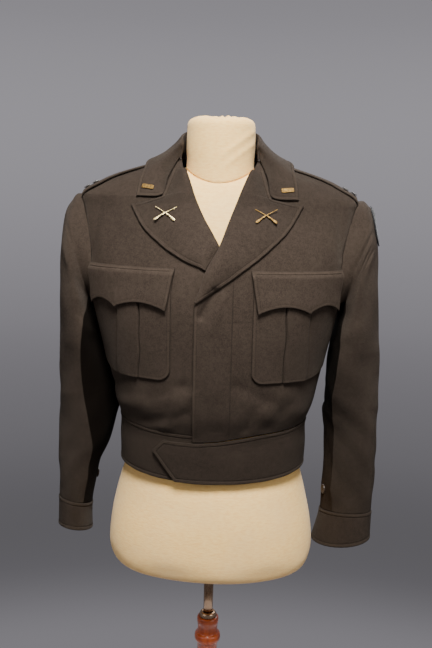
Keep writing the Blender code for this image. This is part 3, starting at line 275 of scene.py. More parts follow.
varnish = Finish("red_brown_varnish", Coat_Weight=0.5, Coat_Roughness=0.06, IOR=1.5)
grain = varnish.noise(varnish.place((1.0, 1.0, 0.06)), 160.0, 4.0, 0.6)
streak = varnish.noise(varnish.place((1.0, 1.0, 0.12)), 45.0, 3.0)
stain = varnish.blend(grain.past(0.35, 2.6), (0.400, 0.055, 0.005), (0.210, 0.024, 0.002))
varnish.vary(Base_Color=varnish.blend(streak.past(0.42, 4.0) * 0.55, stain, (0.560, 0.130, 0.022)),
             Roughness=grain * 0.25 + 0.22)
varnish.relief(grain, 0.00012)

mm = 0.001
base_profile = mm * np.concatenate([
    rounded_line([(1, 46), (30, 46), (54, 45.8), (60, 44), (64, 41.5)], 16),
    rounded_line([(66, 42.5), (80, 40), (110, 35.5), (140, 32), (164, 30)], 24),
    rounded_line([(166, 30.6), (178, 28.2), (187, 24), (190, 18), (190, 8), (189, 3), (187, 0)], 26),
    np.array([(160, 0), (1, 0)])])
put_in("turned_base", *closed_rings(turned(base_profile, 128)), [varnish], "wood", "base")

pole_profile = mm * np.concatenate([
    rounded_line([(1, 608.5), (15, 608.5), (18.5, 608.2), (19.6, 607), (20, 604),
                  (19.9, 599), (18.8, 592), (18.4, 586), (18.6, 580), (19.4, 576.8)], 34),
    rounded_line([(20.2, 576.4), (22.6, 574.5), (24, 570), (24.1, 566), (23.2, 561.5), (21, 559)], 18),
    rounded_line([(20, 558.5), (19, 556), (18.6, 540), (18.7, 500), (19.5, 440),
                  (21.4, 320), (22.4, 220), (22.5, 140), (23.2, 128)], 40),
    rounded_line([(24.2, 118), (27, 113), (30.2, 108), (31, 102), (29.8, 97), (26.2, 93.5)], 20),
    rounded_line([(25.2, 92), (24.6, 82), (25, 70), (27.5, 62), (34, 55),
                  (44, 50), (48, 47.8), (48.2, 46.3)], 28),
    np.array([(30, 46.3), (1, 46.3)])])
put_in("turned_pole", *closed_rings(turned(pole_profile, 96)), [varnish], "wood", "pole")

# A drawn steel rod stands in the pole's socket and carries the dress form. A pressed steel cup with a
# ring of small stamped flutes closes the socket round it.
rod_radius, rod_top, rod_foot = 0.0088, 0.7297, 0.6088
drawn_steel = Finish("drawn_steel", Metallic=1.0)
along_rod = drawn_steel.noise(drawn_steel.place((1.0, 1.0, 0.02)), 900.0, 2.0)
dull = drawn_steel.noise(drawn_steel.place(), 60.0, 3.0)
drawn_steel.vary(Base_Color=drawn_steel.blend(dull.past(0.5, 4.0), (0.42, 0.28, 0.18), (0.24, 0.14, 0.08)),
                 Roughness=along_rod * 0.16 + dull * 0.18 + 0.06)
drawn_steel.relief(along_rod, 0.00004)
rod_profile = np.array([(0.0005, rod_top), (rod_radius - 0.0006, rod_top), (rod_radius, rod_top - 0.0006),
                        (rod_radius, 0.6600), (rod_radius, rod_foot + 0.0004),
                        (rod_radius - 0.0004, rod_foot), (0.0005, rod_foot)])
put_in("steel_rod", *closed_rings(turned(rod_profile, 64)), [drawn_steel], "steel", "rod")

cup_profile = mm * np.concatenate([
    rounded_line([(9.3, 617.2), (9.8, 617.6), (12.4, 617.6), (13.6, 617.3), (14.8, 616),
                  (15.7, 614), (16.3, 611.5), (16.5, 609.5), (16.3, 608.8)], 30),
    np.array([(13, 608.8), (9.6, 608.8), (9.3, 609.2)])])
cup = turned(cup_profile, 160)
flute_angle = np.linspace(0.0, 2 * math.pi, 160, endpoint=False)
flute_depth, flute_z, flute_half_height = 0.0005, 0.6125, 0.0022
flute = np.cos(20 * flute_angle) * np.exp(-(((cup_profile[:, 1:] - flute_z) / flute_half_height) ** 2))
flute = np.where(cup_profile[:, :1] > 0.0125, flute_depth * (flute - 1), 0.0)
cup[..., :2] *= 1 + flute[..., None] / 0.0160
number = np.arange(cup.shape[0] * cup.shape[1]).reshape(cup.shape[:2])
number = np.concatenate([ringed(number), ringed(number)[:1]])
put_in("pressed_cup", cup, cells(number).reshape(-1, 4).tolist(), [drawn_steel], "steel", "rod_cup")

# The dress form is a padded torso with no limbs, under a tight cream knit cover that is rolled in at
# its lower edge. It stands on the rod, and the jacket hangs from its shoulders.
form_rings = mm * np.array((
    # half_width, front, back, front_z, side_z, back_z in millimetres
    (152, 106, 106, 730, 730, 730),
    (174, 124, 123, 740, 735, 735),
    (184, 132, 131, 760, 753, 753),
    (185.5, 134.5, 133, 786, 781, 781),
    (180, 131, 130, 830, 828, 828),
    (168, 122, 118, 880, 880, 880),
    (157, 113, 100, 920, 920, 920),
    (148, 105, 93, 970, 970, 970),
    (150, 107, 96, 1030, 1030, 1030),
    (160, 115, 104, 1100, 1100, 1100),
    (174, 122, 110, 1170, 1170, 1170),
    (184, 123, 114, 1240, 1240, 1240),
    (190, 113, 115, 1295, 1300, 1300),
    (198, 98, 108, 1335, 1350, 1345),
    (202, 84, 98, 1364, 1385, 1378),
    (196, 75, 88, 1382, 1405.2, 1400),
    (175, 69, 79, 1393, 1416.2, 1417),
    (140, 64, 71, 1401, 1426, 1430),
    (100, 60, 63, 1407, 1429, 1439),
    (64, 57, 58, 1410.5, 1432, 1445),
))


def form_surface(table, power, per_ring, columns):
    """Superellipses whose half widths and depths run smoothly from ring to ring; a ring's height goes
    from its side's to its front's or its back's by the square of the cosine round it."""
    turn = np.linspace(0.0, 2 * math.pi, columns, endpoint=False)
    sine, cosine = np.sin(turn), np.cos(turn)
    order = np.arange(len(table), dtype=float)
    at = np.linspace(0.0, len(table) - 1.0, (len(table) - 1) * per_ring + 1)
    rows = smooth_rows(np.column_stack([order, table]), at)
    half_width, front, back, front_z, side_z, back_z = rows.T[..., None]
    x = half_width * np.sign(sine) * np.abs(sine) ** (2 / power)
    y = -np.where(cosine > 0, front, back) * np.sign(cosine) * np.abs(cosine) ** (2 / power)
    z = side_z + (np.where(cosine > 0, front_z, back_z) - side_z) * cosine**2
    return np.stack([x, y, z], -1), turn


cream_knit = Finish("cream_knit", Sheen_Weight=0.15, Sheen_Roughness=0.6, Specular_IOR_Level=0.25)
knit_place = cream_knit.place()
across, forward, upward = cream_knit.axes(knit_place)
slub = cream_knit.noise(cream_knit.place((1.0, 1.0, 3.6)), 110.0, 4.0, 0.6)
cloud = cream_knit.noise(knit_place, 9.0, 3.0)
low_edge = upward.past(0.800, -14.0)
fresh = cream_knit.blend(slub.past(0.40, 3.2), (0.950, 0.620, 0.215), (0.890, 0.515, 0.150))
soiled = cream_knit.blend(cloud.past(0.45, 3.5) * 0.40 + low_edge * 0.25, fresh,
                          (0.740, 0.500, 0.250))
cream_knit.vary(Base_Color=soiled, Roughness=slub * 0.2 + 0.68)
cream_knit.relief(slub, 0.00040)

rings, turn = form_surface(form_rings, 2.15, 7, 160)
outward = unit(rings * np.array([1.0, 1.0, 0.0]))
wrinkle = (0.0011 * np.sin(3 * turn + 1.0) * np.sin(38 * rings[..., 2])
           + 0.0016 * np.sin(7 * turn + 0.6) * np.exp(-(((rings[..., 2] - 0.752) / 0.016) ** 2)))
rings = rings + outward * (wrinkle - 0.0016)[..., None]
form = put_in("knit_covered_form", *closed_rings(rings), [cream_knit], "knit", "form_body")

# The neck has a cap of the same knit, pulled up tight and gathered into the top, with a seam round
# its root. It is sewn to the form's cover.
neck_rings = mm * np.array((
    # half_width, front, back, front_z, side_z, back_z in millimetres
    (57.5, 56, 56, 1411, 1432.5, 1445.5),
    (57, 56, 56, 1435, 1448, 1457),
    (58, 56.5, 56.5, 1465, 1468, 1470),
    (57.5, 56, 56, 1495, 1495, 1495),
    (56, 54.5, 54.5, 1509, 1509, 1509),
    (50, 49, 49, 1516, 1516, 1516),
    (38, 37, 37, 1518, 1518, 1518),
    (20, 19.5, 19.5, 1516, 1516, 1516),
    (9, 8.8, 8.8, 1512, 1512, 1512),
    (4, 3.9, 3.9, 1506, 1506, 1506),
))
rings, turn = form_surface(neck_rings, 2.0, 14, 160)
x, y, z = np.moveaxis(rings, -1, 0)
radius = np.hypot(x, y)
pleat = np.sin(19 * turn + 2.2 * np.sin(2 * turn)) * (1 + 0.6 * np.sin(5 * turn))
gather = 0.0017 * pleat * ease((0.052 - radius) / 0.020) * ease(radius / 0.006)
drag = (x * 0.62 - (z - 1.452) * 0.78) / 0.0045
pull = 0.0011 * np.exp(-(drag**2)) * ease(-y / 0.02) * ease((x + 0.010) / 0.03)
pull += 0.0009 * np.exp(-((drag - 3.6) ** 2)) * ease(-y / 0.02) * ease((x + 0.004) / 0.03)
root = -0.0012 * np.exp(-(((z - rings[0, :, 2]) / 0.0012) ** 2))
rings = rings + unit(rings * np.array([1.0, 1.0, 0.0])) * (pull + root)[..., None]
rings[..., 2] += np.where(rings[..., 2] > 1.500, gather, 0.0)
neck = put_in("gathered_neck_cap", *closed_rings(rings), [cream_knit], "knit", "form_neck")

# The jacket's back is one cut of dark olive-brown wool serge, a close twill with a soft nap. It is
# sewn to the fronts at the sides and along the shoulders, and blouses over the waistband.
cloth_thickness = 0.0023
rest_gap = 0.0009
hem_z, band_top_z, armpit_z, shoulder_z, neck_z = 0.918, 1.0005, 1.195, 1.387, 1.453
side_rise, armhole_half = 0.0095, math.radians(28)
quarter_turn = math.pi / 2
torso_table = np.array((
    # z, half_width, front and back in millimetres, power
    (900, 163, 121.5, 108, 2.3),
    (960, 164, 123.5, 108, 2.3),
    (1000, 164.5, 125, 108.5, 2.3),
    (1012, 168, 129, 113, 2.3),
    (1032, 173.5, 135, 119, 2.3),
    (1070, 180, 137, 123, 2.3),
    (1120, 192, 138.5, 124, 2.2),
    (1180, 208, 140, 125, 2.2),
    (1240, 225, 138, 128, 2.2),
    (1300, 234, 126, 130, 2.2),
    (1340, 238, 108, 125, 2.2),
    (1370, 237.5, 91, 115, 2.2),
    (1387, 234.5, 82.5, 108, 2.2),
    (1403, 210, 74, 103, 2.2),
    (1416, 185, 67, 98, 2.2),
    (1434, 131, 56, 88, 2.2),
    (1443, 100, 49, 80, 2.2),
    (1456, 64, 38, 66, 2.0),
)) * (mm, mm, mm, mm, 1)
drape_lines = np.array((
    # side, x0, z0, x1, z1, half_width, height in millimetres
    (-1, -60, 1070, -150, 1036, 14, 4),
    (-1, -35, 1070, -75, 1010, 12, 3.5),
    (-1, 62, 1070, 105, 1028, 15, 2.6),
    (-1, 120, 1070, 150, 1028, 16, 3),
    (1, -100, 1080, -85, 1015, 13, 4),
    (1, -35, 1090, -30, 1015, 13, 3.5),
    (1, 45, 1075, 40, 1015, 12, 3.5),
    (1, 105, 1085, 90, 1015, 13, 4),
    (1, -175, 1300, -150, 1150, 20, 4),
    (1, 175, 1300, 152, 1150, 20, 4),
    (-1, -148, 1086, -176, 1058, 9, -2.2),
    (-1, -46, 1085, -98, 1058, 11, -3.6),
    (-1, -38, 1040, -110, 1012, 11, -3.6),
    (-1, 45, 1088, 92, 1062, 12, -2.8),
    (-1, 130, 1050, 98, 1014, 11, -2.6),
    (-1, 75, 1050, 60, 1012, 10, -2.8),
    (-1, -4, 1060, 4, 998, 10, -1.2),
    (-1, -104, 1328, -121, 1290, 2, -1.2),
    (-1, 105, 1307, 118, 1287, 2, -1.2),
    (-1, 4, 1244, -16, 1204, 6, -5),
    (-1, 18, 1236, 0, 1180, 7, 2.2),
    (-1, -195, 1380, -205, 1290, 8, -1.8),
    (-1, 200, 1382, 206, 1300, 8, -2),
    (1, -60, 1110, -58, 1018, 8, -3),
    (1, 8, 1100, 6, 1018, 8, -3),
    (1, 75, 1105, 66, 1018, 8, -2.8),
    (1, -140, 1090, -118, 1018, 8, -2.8),
    (1, 138, 1095, 118, 1018, 8, -2.8),
    (1, -60, 1405, 60, 1405, 12, -1.5),
    (1, -200, 1345, -120, 1240, 12, -2.5),
    (1, 200, 1345, 125, 1235, 12, -2.5),
)) * (1, mm, mm, mm, mm, mm, mm)


def turn_at(x, z):
    """Angle round the body, from the centre front, at an x and a height: the arcsine of x over the
    half width, raised to half of the superellipse's power."""
    half_width, _, _, power = np.moveaxis(smooth_rows(torso_table, z), -1, 0)
    reach = np.clip(np.abs(x) / half_width, 0.0, 1.0)
    return np.sign(x) * np.arcsin(reach ** (power / 2))


def drape(x, y, z):
    """How far the cloth stands out: a bell across each drape line, on the line's own side of the body,
    with long shallow waves added. It fades to nothing at the waistband."""
    height = (0.0007 * np.sin(41 * x + 17 * z + 0.8) + 0.0006 * np.sin(29 * z - 33 * x + 2.0)
              + 0.0004 * np.sin(83 * x + 47 * z)) * ease(1 - np.abs(y) / 0.4)
    for side, x0, z0, x1, z1, half_width, tall in drape_lines:
        along = np.clip(((x - x0) * (x1 - x0) + (z - z0) * (z1 - z0))
                        / ((x1 - x0) ** 2 + (z1 - z0) ** 2), 0.0, 1.0)
        away = np.hypot(x - x0 - along * (x1 - x0), z - z0 - along * (z1 - z0))
        height = height + tall * np.exp(-((away / half_width) ** 2)) * ease(side * y / 0.03)
    return height * ease((z - band_top_z) / 0.012)


def torso_ring(turn, z):
    """Superellipse at each height: half width times a power of the sine, depth times one of the cosine."""
    half_width, front, back, power = np.moveaxis(smooth_rows(torso_table, z), -1, 0)
    sine, cosine = np.sin(turn), np.cos(turn)
    depth = np.where(cosine > 0, front, back)
    x = half_width * np.sign(sine) * np.abs(sine) ** (2 / power)
    y = -depth * np.sign(cosine) * np.abs(cosine) ** (2 / power)
    return np.stack([x, y, z + 0 * turn], -1)


def torso(turn, z, lift=0.0):
    """Point of the body at an angle and a height, moved out along its normal by drape and lift. Low down
    it rises at the sides by the square of the sine round it."""
    turn, z = np.broadcast_arrays(np.asarray(turn, float), np.asarray(z, float))
    point = torso_ring(turn, z)
    across = torso_ring(turn + 0.01, z) - torso_ring(turn - 0.01, z)
    up = torso_ring(turn, z + 0.0008) - torso_ring(turn, z - 0.0008)
    out = drape(*np.moveaxis(point, -1, 0)) + lift
    raised = np.zeros_like(point)
    low, fore = 1 - ease((z - 0.990) / 0.120), ease(0.5 + 3 * np.cos(turn))
    raised[..., 2] = side_rise * np.sin(turn) ** 2 * low * fore
    return point + raised + unit(np.cross(across, up)) * out[..., None]


def armhole_angle(z):
    """Half of the armhole's opening at a height, as an angle round the body: a superellipse."""
    place = np.clip((z - armpit_z) / (shoulder_z - armpit_z), 0.0, 1.0)
    span = np.clip(1 - np.abs(2 * place - 1) ** 2.5, 0.0, 1.0)
    return armhole_half * span ** 0.4


welt_steps = mm * np.array([0.0, 0.4, 1.0, 1.8, 3.2, 4.6, 5.3, 5.8, 6.3, 7.0, 8.5])
seam_steps = mm * np.array([0.0, 0.4, 1.2, 3.0])
welt_width = 0.0060


def steps_between(length, spacing, first=True, last=True):
    """Shares from 0 to 1 along a cut piece of that length, crowded over the welt of a finished end."""
    low, high = welt_steps if first else seam_steps, welt_steps if last else seam_steps
    middle = np.linspace(low[-1], length - high[-1], max(2, int(round(length / spacing))))
    return np.concatenate([low[:-1], middle, length - high[-2::-1]]) / length


def distance_to(points, line):
    """Each point's distance to a line of points, and how far along the line the nearest one is."""
    share = np.linspace(0.0, len(line) - 1.0, max(len(line), 400))
    below = np.minimum(share.astype(int), len(line) - 2)
    fine = line[below] + (line[below + 1] - line[below]) * (share - below)[:, None]
    run = np.concatenate([[0.0], np.cumsum(np.linalg.norm(np.diff(fine, axis=0), axis=1))])
    flat = points.reshape(-1, 3)
    nearest = np.empty(len(flat), int)
    away = np.empty(len(flat))
    for start in range(0, len(flat), 4000):
        gap = np.linalg.norm(flat[start:start + 4000, None] - fine, axis=-1)
        nearest[start:start + 4000] = gap.argmin(axis=1)
        away[start:start + 4000] = gap.min(axis=1)
    shape = points.shape[:-1]
    return away.reshape(shape), run[nearest].reshape(shape)


def cut_piece(name, surface, finished, node, seams=None,
              wrapped=False, thickness=cloth_thickness, welt=0.0005, soft_welts=(), leaf_from=0,
              marked=None, finishes=None, slot="wool"):
    """A cut piece of cloth: outer and inner faces are the surface at two lifts. Within 1 mm of any end
    the two close on each other along a half circle. A welt of 6 mm, raised and then stitched down in a
    narrow groove, follows each finished end, a quarter as high at a soft one. Every other end is a
    seam, unless seams lists them. A leaf is the top's or the foot's line from one column on. The UV
    maps are the weave, the stitching as the run along a finished end and the distance from it, and
    joins, the distance from a seam or from what is marked. A wrapped piece closes on itself."""
    middle = surface(thickness / 2)
    if wrapped:
        middle = ringed(middle)
    borders = {"top": middle[0], "foot": middle[-1], "start": middle[:, 0], "end": middle[:, -1]}
    if seams is None:
        seams = [key for key in borders if key not in finished]
    borders.update({key + "_leaf": borders[key][leaf_from:] for key in ("top", "foot")})
    fields = {key: distance_to(middle, borders[key]) for key in (*finished, *seams)}
    nearest = np.min([away for away, _ in fields.values()], axis=0)
    edge, run, share = np.ones_like(nearest), np.zeros_like(nearest), np.ones_like(nearest)
    for key in finished:
        away, along = fields[key]
        run = np.where(away < edge, along, run)
        share = np.where(away < edge, 0.25 if key in soft_welts else 1.0, share)
        edge = np.minimum(edge, away)
    close = np.clip(nearest / (thickness / 2), 0.0, 1.0)
    full = np.sqrt(np.clip(1 - (1 - close) ** 2, 0.0, 1.0)) * thickness / 2
    raised = ease((welt_width - edge) / 0.0010) - 1.1 * np.exp(-(((edge - welt_width) / 0.0007) ** 2))
    raised = welt * raised * ease(nearest / 0.0012) * share
    own = np.s_[:, :-1] if wrapped else np.s_[:]
    outer, inner = surface((thickness / 2 + full + raised)[own]), surface((thickness / 2 - full)[own])
    rows, columns = outer.shape[:2]
    number = np.arange(rows * columns).reshape(rows, columns)
    if wrapped:
        number = ringed(number)
    behind = number + rows * columns
    width = np.linalg.norm(np.diff(middle, axis=1), axis=-1)
    length = np.linalg.norm(np.diff(middle, axis=0), axis=-1)
    u = np.pad(np.cumsum(width, axis=1), ((0, 0), (1, 0)))
    v = np.pad(np.cumsum(length, axis=0), ((1, 0), (0, 0)))
    joined = np.min([fields[key][0] for key in seams], axis=0) if seams else np.ones_like(edge)
    if marked is not None:
        joined = np.minimum(joined, marked)
    places = np.stack([u - u.mean(axis=1, keepdims=True), v, run, edge, joined, joined], -1)
    patches = [(number, places), (behind[:, ::-1], places[:, ::-1] + np.array([0, 0, 1, 1, 0, 0]))]
    for strip in (np.s_[0], np.s_[-1]) + (() if wrapped else (np.s_[:, 0], np.s_[:, -1])):
        patches.append((np.stack([number[strip], behind[strip]]), np.stack([places[strip]] * 2)))
    faces = np.concatenate([cells(numbers).reshape(-1, 4) for numbers, _ in patches])
    corners = np.concatenate([cells(spots).reshape(-1, 6) for _, spots in patches])
    count = (rows - 1) * (number.shape[1] - 1)
    obj = put_in(name, np.concatenate([outer.reshape(-1, 3), inner.reshape(-1, 3)]), faces.tolist(),
                 finishes or [serge, lining], slot, node, (count, 2 * count),
                 {"weave": corners[:, :2], "stitching": corners[:, 2:4], "joins": corners[:, 4:]}, 60)
    one_way, other_way = middle[1:, 1:] - middle[:-1, :-1], middle[1:, :-1] - middle[:-1, 1:]
    area = float(np.linalg.norm(np.cross(one_way, other_way), axis=-1).sum() / 2)


def wool_serge(name, shaded_above=None):
    """Dark wool serge: twill and yarn lines in the weave's own directions, nap and mottling by noise,
    worn paler in patches. Painted shade darkens it above the chest and from the chest down to the
    waist. Where a height is given, a deep painted shade of the arm darkens it above that height,
    with less sheen and shine. A painted highlight lightens the ridge just inside each finished edge,
    and a painted shadow lines the edge itself. A line of stitching runs 6 mm inside each finished edge,
    in a groove darkened with painted shade, and every seam is a dark line of painted shade."""
    sheen, shine = (0.05, 0.12) if shaded_above is None else (0.01, 0.03)
    wool = Finish(name, Sheen_Weight=sheen, Sheen_Roughness=0.45, Sheen_Tint=(0.62, 0.54, 0.45, 1.0),
                  Specular_IOR_Level=shine)
    dark, pale, worn = (0.0265, 0.0184, 0.0128), (0.0490, 0.0345, 0.0250), (0.0620, 0.0450, 0.0325)
    # The first of these tones is a painted highlight; the other two are painted shade.
    crest_highlight, crease, shade = (0.0800, 0.0580, 0.0400), (0.0120, 0.0084, 0.0058), (0.0030, 0.0020, 0.0014)
    run_along, edge_distance, _ = wool.axes(wool.place(uv_map="stitching"))
    warp, weft, _ = wool.axes(wool.place(uv_map="weave"))
    seam_distance, _, _ = wool.axes(wool.place(uv_map="joins"))
    _, _, height = wool.axes(wool.place())
    twill = (warp + weft).wave(0.0016)
    yarn = (warp - weft * 0.35).wave(0.0009)
    nap = wool.noise(wool.place(), 520.0, 3.0, 0.65)
    mottle = wool.noise(wool.place(), 150.0, 3.0, 0.55)
    fading = wool.noise(wool.place(), 14.0, 2.0)
    thread = run_along.wave(0.0032).maths("GREATER_THAN", 0.28)
    groove = edge_distance.near(welt_width, 0.0007)
    tone = wool.blend(nap.past(0.36, 3.2), dark, pale)
    tone = wool.blend(mottle.past(0.42, 4.0) * 0.35 + fading.past(0.40, 3.0) * 0.25, tone, worn)
    # Painted shade: darker from the chest down to the waist, and above the chest.
    tone = wool.blend(height.past(1.222, -4.4) * 0.52 + height.past(1.275, 11.0) * 0.36, tone, crease)
    # Painted shade of the arm above the given height.
    if shaded_above is not None:
        tone = wool.blend(height.past(shaded_above, 14.0) * 0.93, tone, shade)
    # A painted highlight on the welt's ridge just inside each finished edge.
    tone = wool.blend(edge_distance.near(0.0030, 0.0022) * 0.16, tone, crest_highlight)
    # A painted shadow along each finished edge, and painted shade along each seam and marked fold.
    rim_shadow, seam = edge_distance.near(0.0, 0.0013), seam_distance.near(0.0, 0.0011)
    tone = wool.blend(rim_shadow * 0.65 + seam * 0.80, tone, crease)
    # The stitching groove is darkened with painted shade, less where the thread lies.
    wool.vary(Base_Color=wool.blend(groove * (0.75 - thread * 0.45), tone, crease),
              Roughness=nap * 0.10 + 0.86)
    wool.relief(twill * 0.50 + yarn * 0.12 + nap * 0.9 + mottle * 0.6 + groove * thread * 0.5, 0.00045)
    return wool


serge = wool_serge("wool_serge")
# Two copies of the serge with deep painted shade of the arm, for the under sleeves: the right one's from 0.50
# m up, the left one's from 0.97 m up.
shaded_serge = {-1: wool_serge("wool_serge_shaded_right", 0.50),
                1: wool_serge("wool_serge_shaded_left", 0.97)}

lining = Finish("satin_lining", Roughness=0.42, Specular_IOR_Level=0.4)
sheen_lines = lining.noise(lining.place((1.0, 1.0, 0.3)), 300.0, 2.0)
lining.vary(Base_Color=lining.blend(sheen_lines.past(0.4, 3.0), (0.030, 0.019, 0.014),
                                    (0.048, 0.031, 0.022)))
lining.relief(sheen_lines, 0.00008)


def body_panel(name, node, z, start, end, spacing, finished=(), holes=(0, 0), lift=None, foot=None):
    """A panel of the body between two angles at each height, its columns spread evenly by angle. Beside
    an armhole, at the sides that holes marks by 1, they give way to it by the square of their share of
    the width. A lift moves the panel out, and a foot is the line to which its lowest rows come down."""
    width = float(np.abs(end - start).mean() * 0.16)
    share = steps_between(width, spacing, "start" in finished, "end" in finished)
    start, end = start[:, None], end[:, None]
    hole = armhole_angle(z)[:, None]
    near_start, near_end = holes
    turn = (start - near_start * hole) * (1 - share) + (end + near_end * hole) * share
    turn = turn + near_start * hole * (1 - share) ** 2 - near_end * hole * share ** 2
    height = np.repeat(z[:, None], len(share), axis=1)
    raised = np.zeros_like(height)
    if lift is not None:
        x = torso_ring(turn, height)[..., 0]
        low = foot(x[0])
        height = height + (low - height[:1]) * (1 - ease((height - height[:1]) / 0.030))
        raised = lift(x, height)

    def surface(out):
        return torso(turn, height, raised + out - cloth_thickness)

    cut_piece(name, surface, finished, node)


side_length = armpit_z - band_top_z
low_z = band_top_z + 0.0002 + side_length * steps_between(side_length, 0.0030, False, False)
swing = np.linspace(0.13, math.pi, 73)
arm_z = armpit_z + (shoulder_z - armpit_z) * (1 - np.cos(swing)) / 2
top_z = shoulder_z + (neck_z - shoulder_z) * steps_between(neck_z - shoulder_z, 0.0014, False, False)
body_z = np.concatenate([low_z, arm_z, top_z[1:]])
body_hole = armhole_angle(body_z)
body_panel("back_panel", "back", body_z, quarter_turn + body_hole, 3 * quarter_turn - body_hole, 0.0042,
           holes=(1, 1))

# Both fronts are cut in the same serge and joined to the back at the side and the shoulder. The left
# one laps over the right one with a fly strip, stitched down inside, so that no button shows.
fly_edge_x, fly_seam_x, fly_top_z = -0.028, 0.033, 1.366
left_roll_line = mm * np.array((
    # z, x in millimetres
    (1215, -28), (1232, -21), (1250, -14.5), (1271, -8), (1308, 11), (1345, 24), (1382, 37), (1414, 49),
    (1440, 60), (1456, 66)))
right_roll_line = mm * np.array((
    # z, x in millimetres
    (1235, 22), (1271, 19), (1308, 7), (1330, -6), (1357, -23), (1382, -36), (1414, -49), (1440, -60),
    (1456, -66)))


def on_front(x, z, lift=0.0):
    """Point of the body's front at an x and a height."""
    return torso(turn_at(x, z), z, lift)


def overlap_lift(x, z):
    """How far the left front stands out over the right one: a smooth step across the lap, with a bell
    in height where the lapel's break pushes it out."""
    return 0.0042 * ease((0.060 - x) / 0.055) * (1.0 + 0.7 * np.exp(-(((z - 1.285) / 0.035) ** 2)))


def lapping_share(x):
    """How far the left half of the waistband has risen on to the right one, from 0 to 1."""
    return ease((0.105 - x) / 0.145)


def band_top(x):
    """Top of the left half of the waistband: it dips toward its tab."""
    return band_top_z - 0.0125 * lapping_share(x)


def panel_foot(x):
    """Height at which the left front's panels are sewn to the waistband."""
    return band_top(x) + 0.0014


right_edge = np.where(body_z < right_roll_line[0, 0], right_roll_line[0, 1],
                      smooth_rows(right_roll_line, body_z)[:, 0])
body_panel("right_front_panel", "front_right", body_z, body_hole - quarter_turn,
           turn_at(right_edge, body_z), 0.0028, holes=(1, 0))
left_edge = np.maximum(smooth_rows(left_roll_line, body_z)[:, 0], fly_seam_x)
body_panel("left_front_panel", "front_left", body_z, turn_at(left_edge, body_z), quarter_turn - body_hole,
           0.0028, holes=(0, 1), lift=overlap_lift, foot=panel_foot)
fly_z = np.concatenate([low_z[:-1], np.linspace(armpit_z, fly_top_z, 60)])
fly_x = np.where(fly_z < left_roll_line[0, 0], fly_edge_x, smooth_rows(left_roll_line, fly_z)[:, 0])
body_panel("stitched_fly", "fly_strip", fly_z, turn_at(fly_x, fly_z), turn_at(fly_seam_x + 0 * fly_z, fly_z),
           0.0026, ["start"], lift=overlap_lift, foot=panel_foot)

# The waistband is a doubled strip of the serge in two halves, joined at the centre of the back. The
# left half laps over the right one and ends in a pointed tab, stitched all round.
band_z, band_depth = 0.96, 0.0825


def band_half(name, node, end_x, laps):
    """Rows go down the band from its top, columns from its front end, at an x for each share of the way
    down, round to the centre back."""
    down = steps_between(band_depth, 0.0030)
    share = steps_between(0.5, 0.0040, True, False)
    front = turn_at(end_x(down), band_z + 0 * down)
    back = 2 * quarter_turn if laps else -2 * quarter_turn
    turn = front[:, None] + (back - front)[:, None] * share
    x = torso_ring(turn, band_z + 0 * turn)[..., 0]
    lapping = (np.cos(turn) > 0) & laps
    top = np.where(lapping, band_top(x), band_top_z)
    height = top + (hem_z - top) * down[:, None]
    stand = 0.0006 + np.where(lapping, 0.0046 * lapping_share(x), 0.0)
    stand = stand + 0.0005 * np.sin(5 * turn + 60 * height) * np.sin(math.pi * down)[:, None]

    def surface(out):
        return torso(turn, height, stand + out - cloth_thickness)

    cut_piece(name, surface, ["top", "foot", "start"], node)


band_half("right_waistband", "waistband_right", lambda down: -0.008 + 0 * down, False)
band_half("left_waistband", "waistband_left",
          lambda down: np.interp(down, (0.0, 0.32, 1.0), (-0.076, -0.094, -0.056)), True)

# Two patch pockets of serge are stitched on to the fronts along three sides. Each has a box pleat
# down its middle, pressed flat, whose inner fold stands a little open.
pocket_foot_z, pocket_top_z, pocket_corner = 1.094, 1.254, 0.020
pleat_inner, pleat_outer, pleat_height = 0.118, 0.155, 0.0016
sides = ((-1, "right"), (1, "left"))


def pocket_side(z, inner_side):
    """The pocket's inner or outer edge at a height, with a quarter circle at the foot's corners."""
    rise = np.clip((z - pocket_foot_z) / pocket_corner, 0.0, 1.0)
    cut = pocket_corner * (1 - np.sqrt(1 - (1 - rise) ** 2))
    if inner_side:
        return 0.065 + cut
    wide = 0.176 + 0.030 * ease((z - pocket_foot_z) / (pocket_top_z - pocket_foot_z) * 0.75 + 0.25)
    return wide - 1.6 * cut


corner_z = pocket_foot_z + pocket_corner * (1 - np.cos(np.linspace(0.05, quarter_turn, 20)))
pocket_z = np.concatenate([corner_z, np.linspace(corner_z[-1], pocket_top_z, 60)[1:]])
pocket_share = steps_between(0.125, 0.0024)
pocket_share = np.concatenate([pocket_share[pocket_share < 0.345], np.linspace(0.345, 0.475, 44),
                               pocket_share[(pocket_share > 0.48) & (pocket_share < 0.615)],
                               np.linspace(0.620, 0.785, 40), pocket_share[pocket_share > 0.79]])
for side, side_name in sides:
    inner_x, outer_x = pocket_side(pocket_z, True)[:, None], pocket_side(pocket_z, False)[:, None]
    pocket_x = inner_x + (outer_x - inner_x) * pocket_share
    pocket_height = np.repeat(pocket_z[:, None], len(pocket_share), axis=1)
    wander = 0.0009 * np.sin(46 * pocket_height + side) + 0.0006 * np.sin(101 * pocket_height)
    first, last = pocket_x - pleat_inner + wander, pleat_outer - pocket_x + wander * 0.5
    pleat = (pleat_height + 0.0004) * ease(first / 0.0012) * ease(last / 0.0018)
    pleat -= 0.0024 * np.exp(-(((first + 0.0010) / 0.0011) ** 4))
    pleat -= 0.0008 * np.exp(-(((last + 0.0008) / 0.0010) ** 2))
    pleat *= ease((outer_x - 0.004 - pocket_x) / 0.004)
    under = (overlap_lift(pocket_x, pocket_height) if side > 0 else 0.0) + 0.0013 + pleat

    def pocket_surface(out, side=side, x=pocket_x, z=pocket_height, under=under):
        return on_front(side * x, z, under + out)

    # The pleat's open inner fold is marked, so that it gets the same painted shade line as a seam.
    cut_piece(f"{side_name}_pocket", pocket_surface, ["top", "start", "end"], f"pocket_{side_name}",
              soft_welts=("top", "start", "end"),
              marked=np.abs(first + 0.0010))

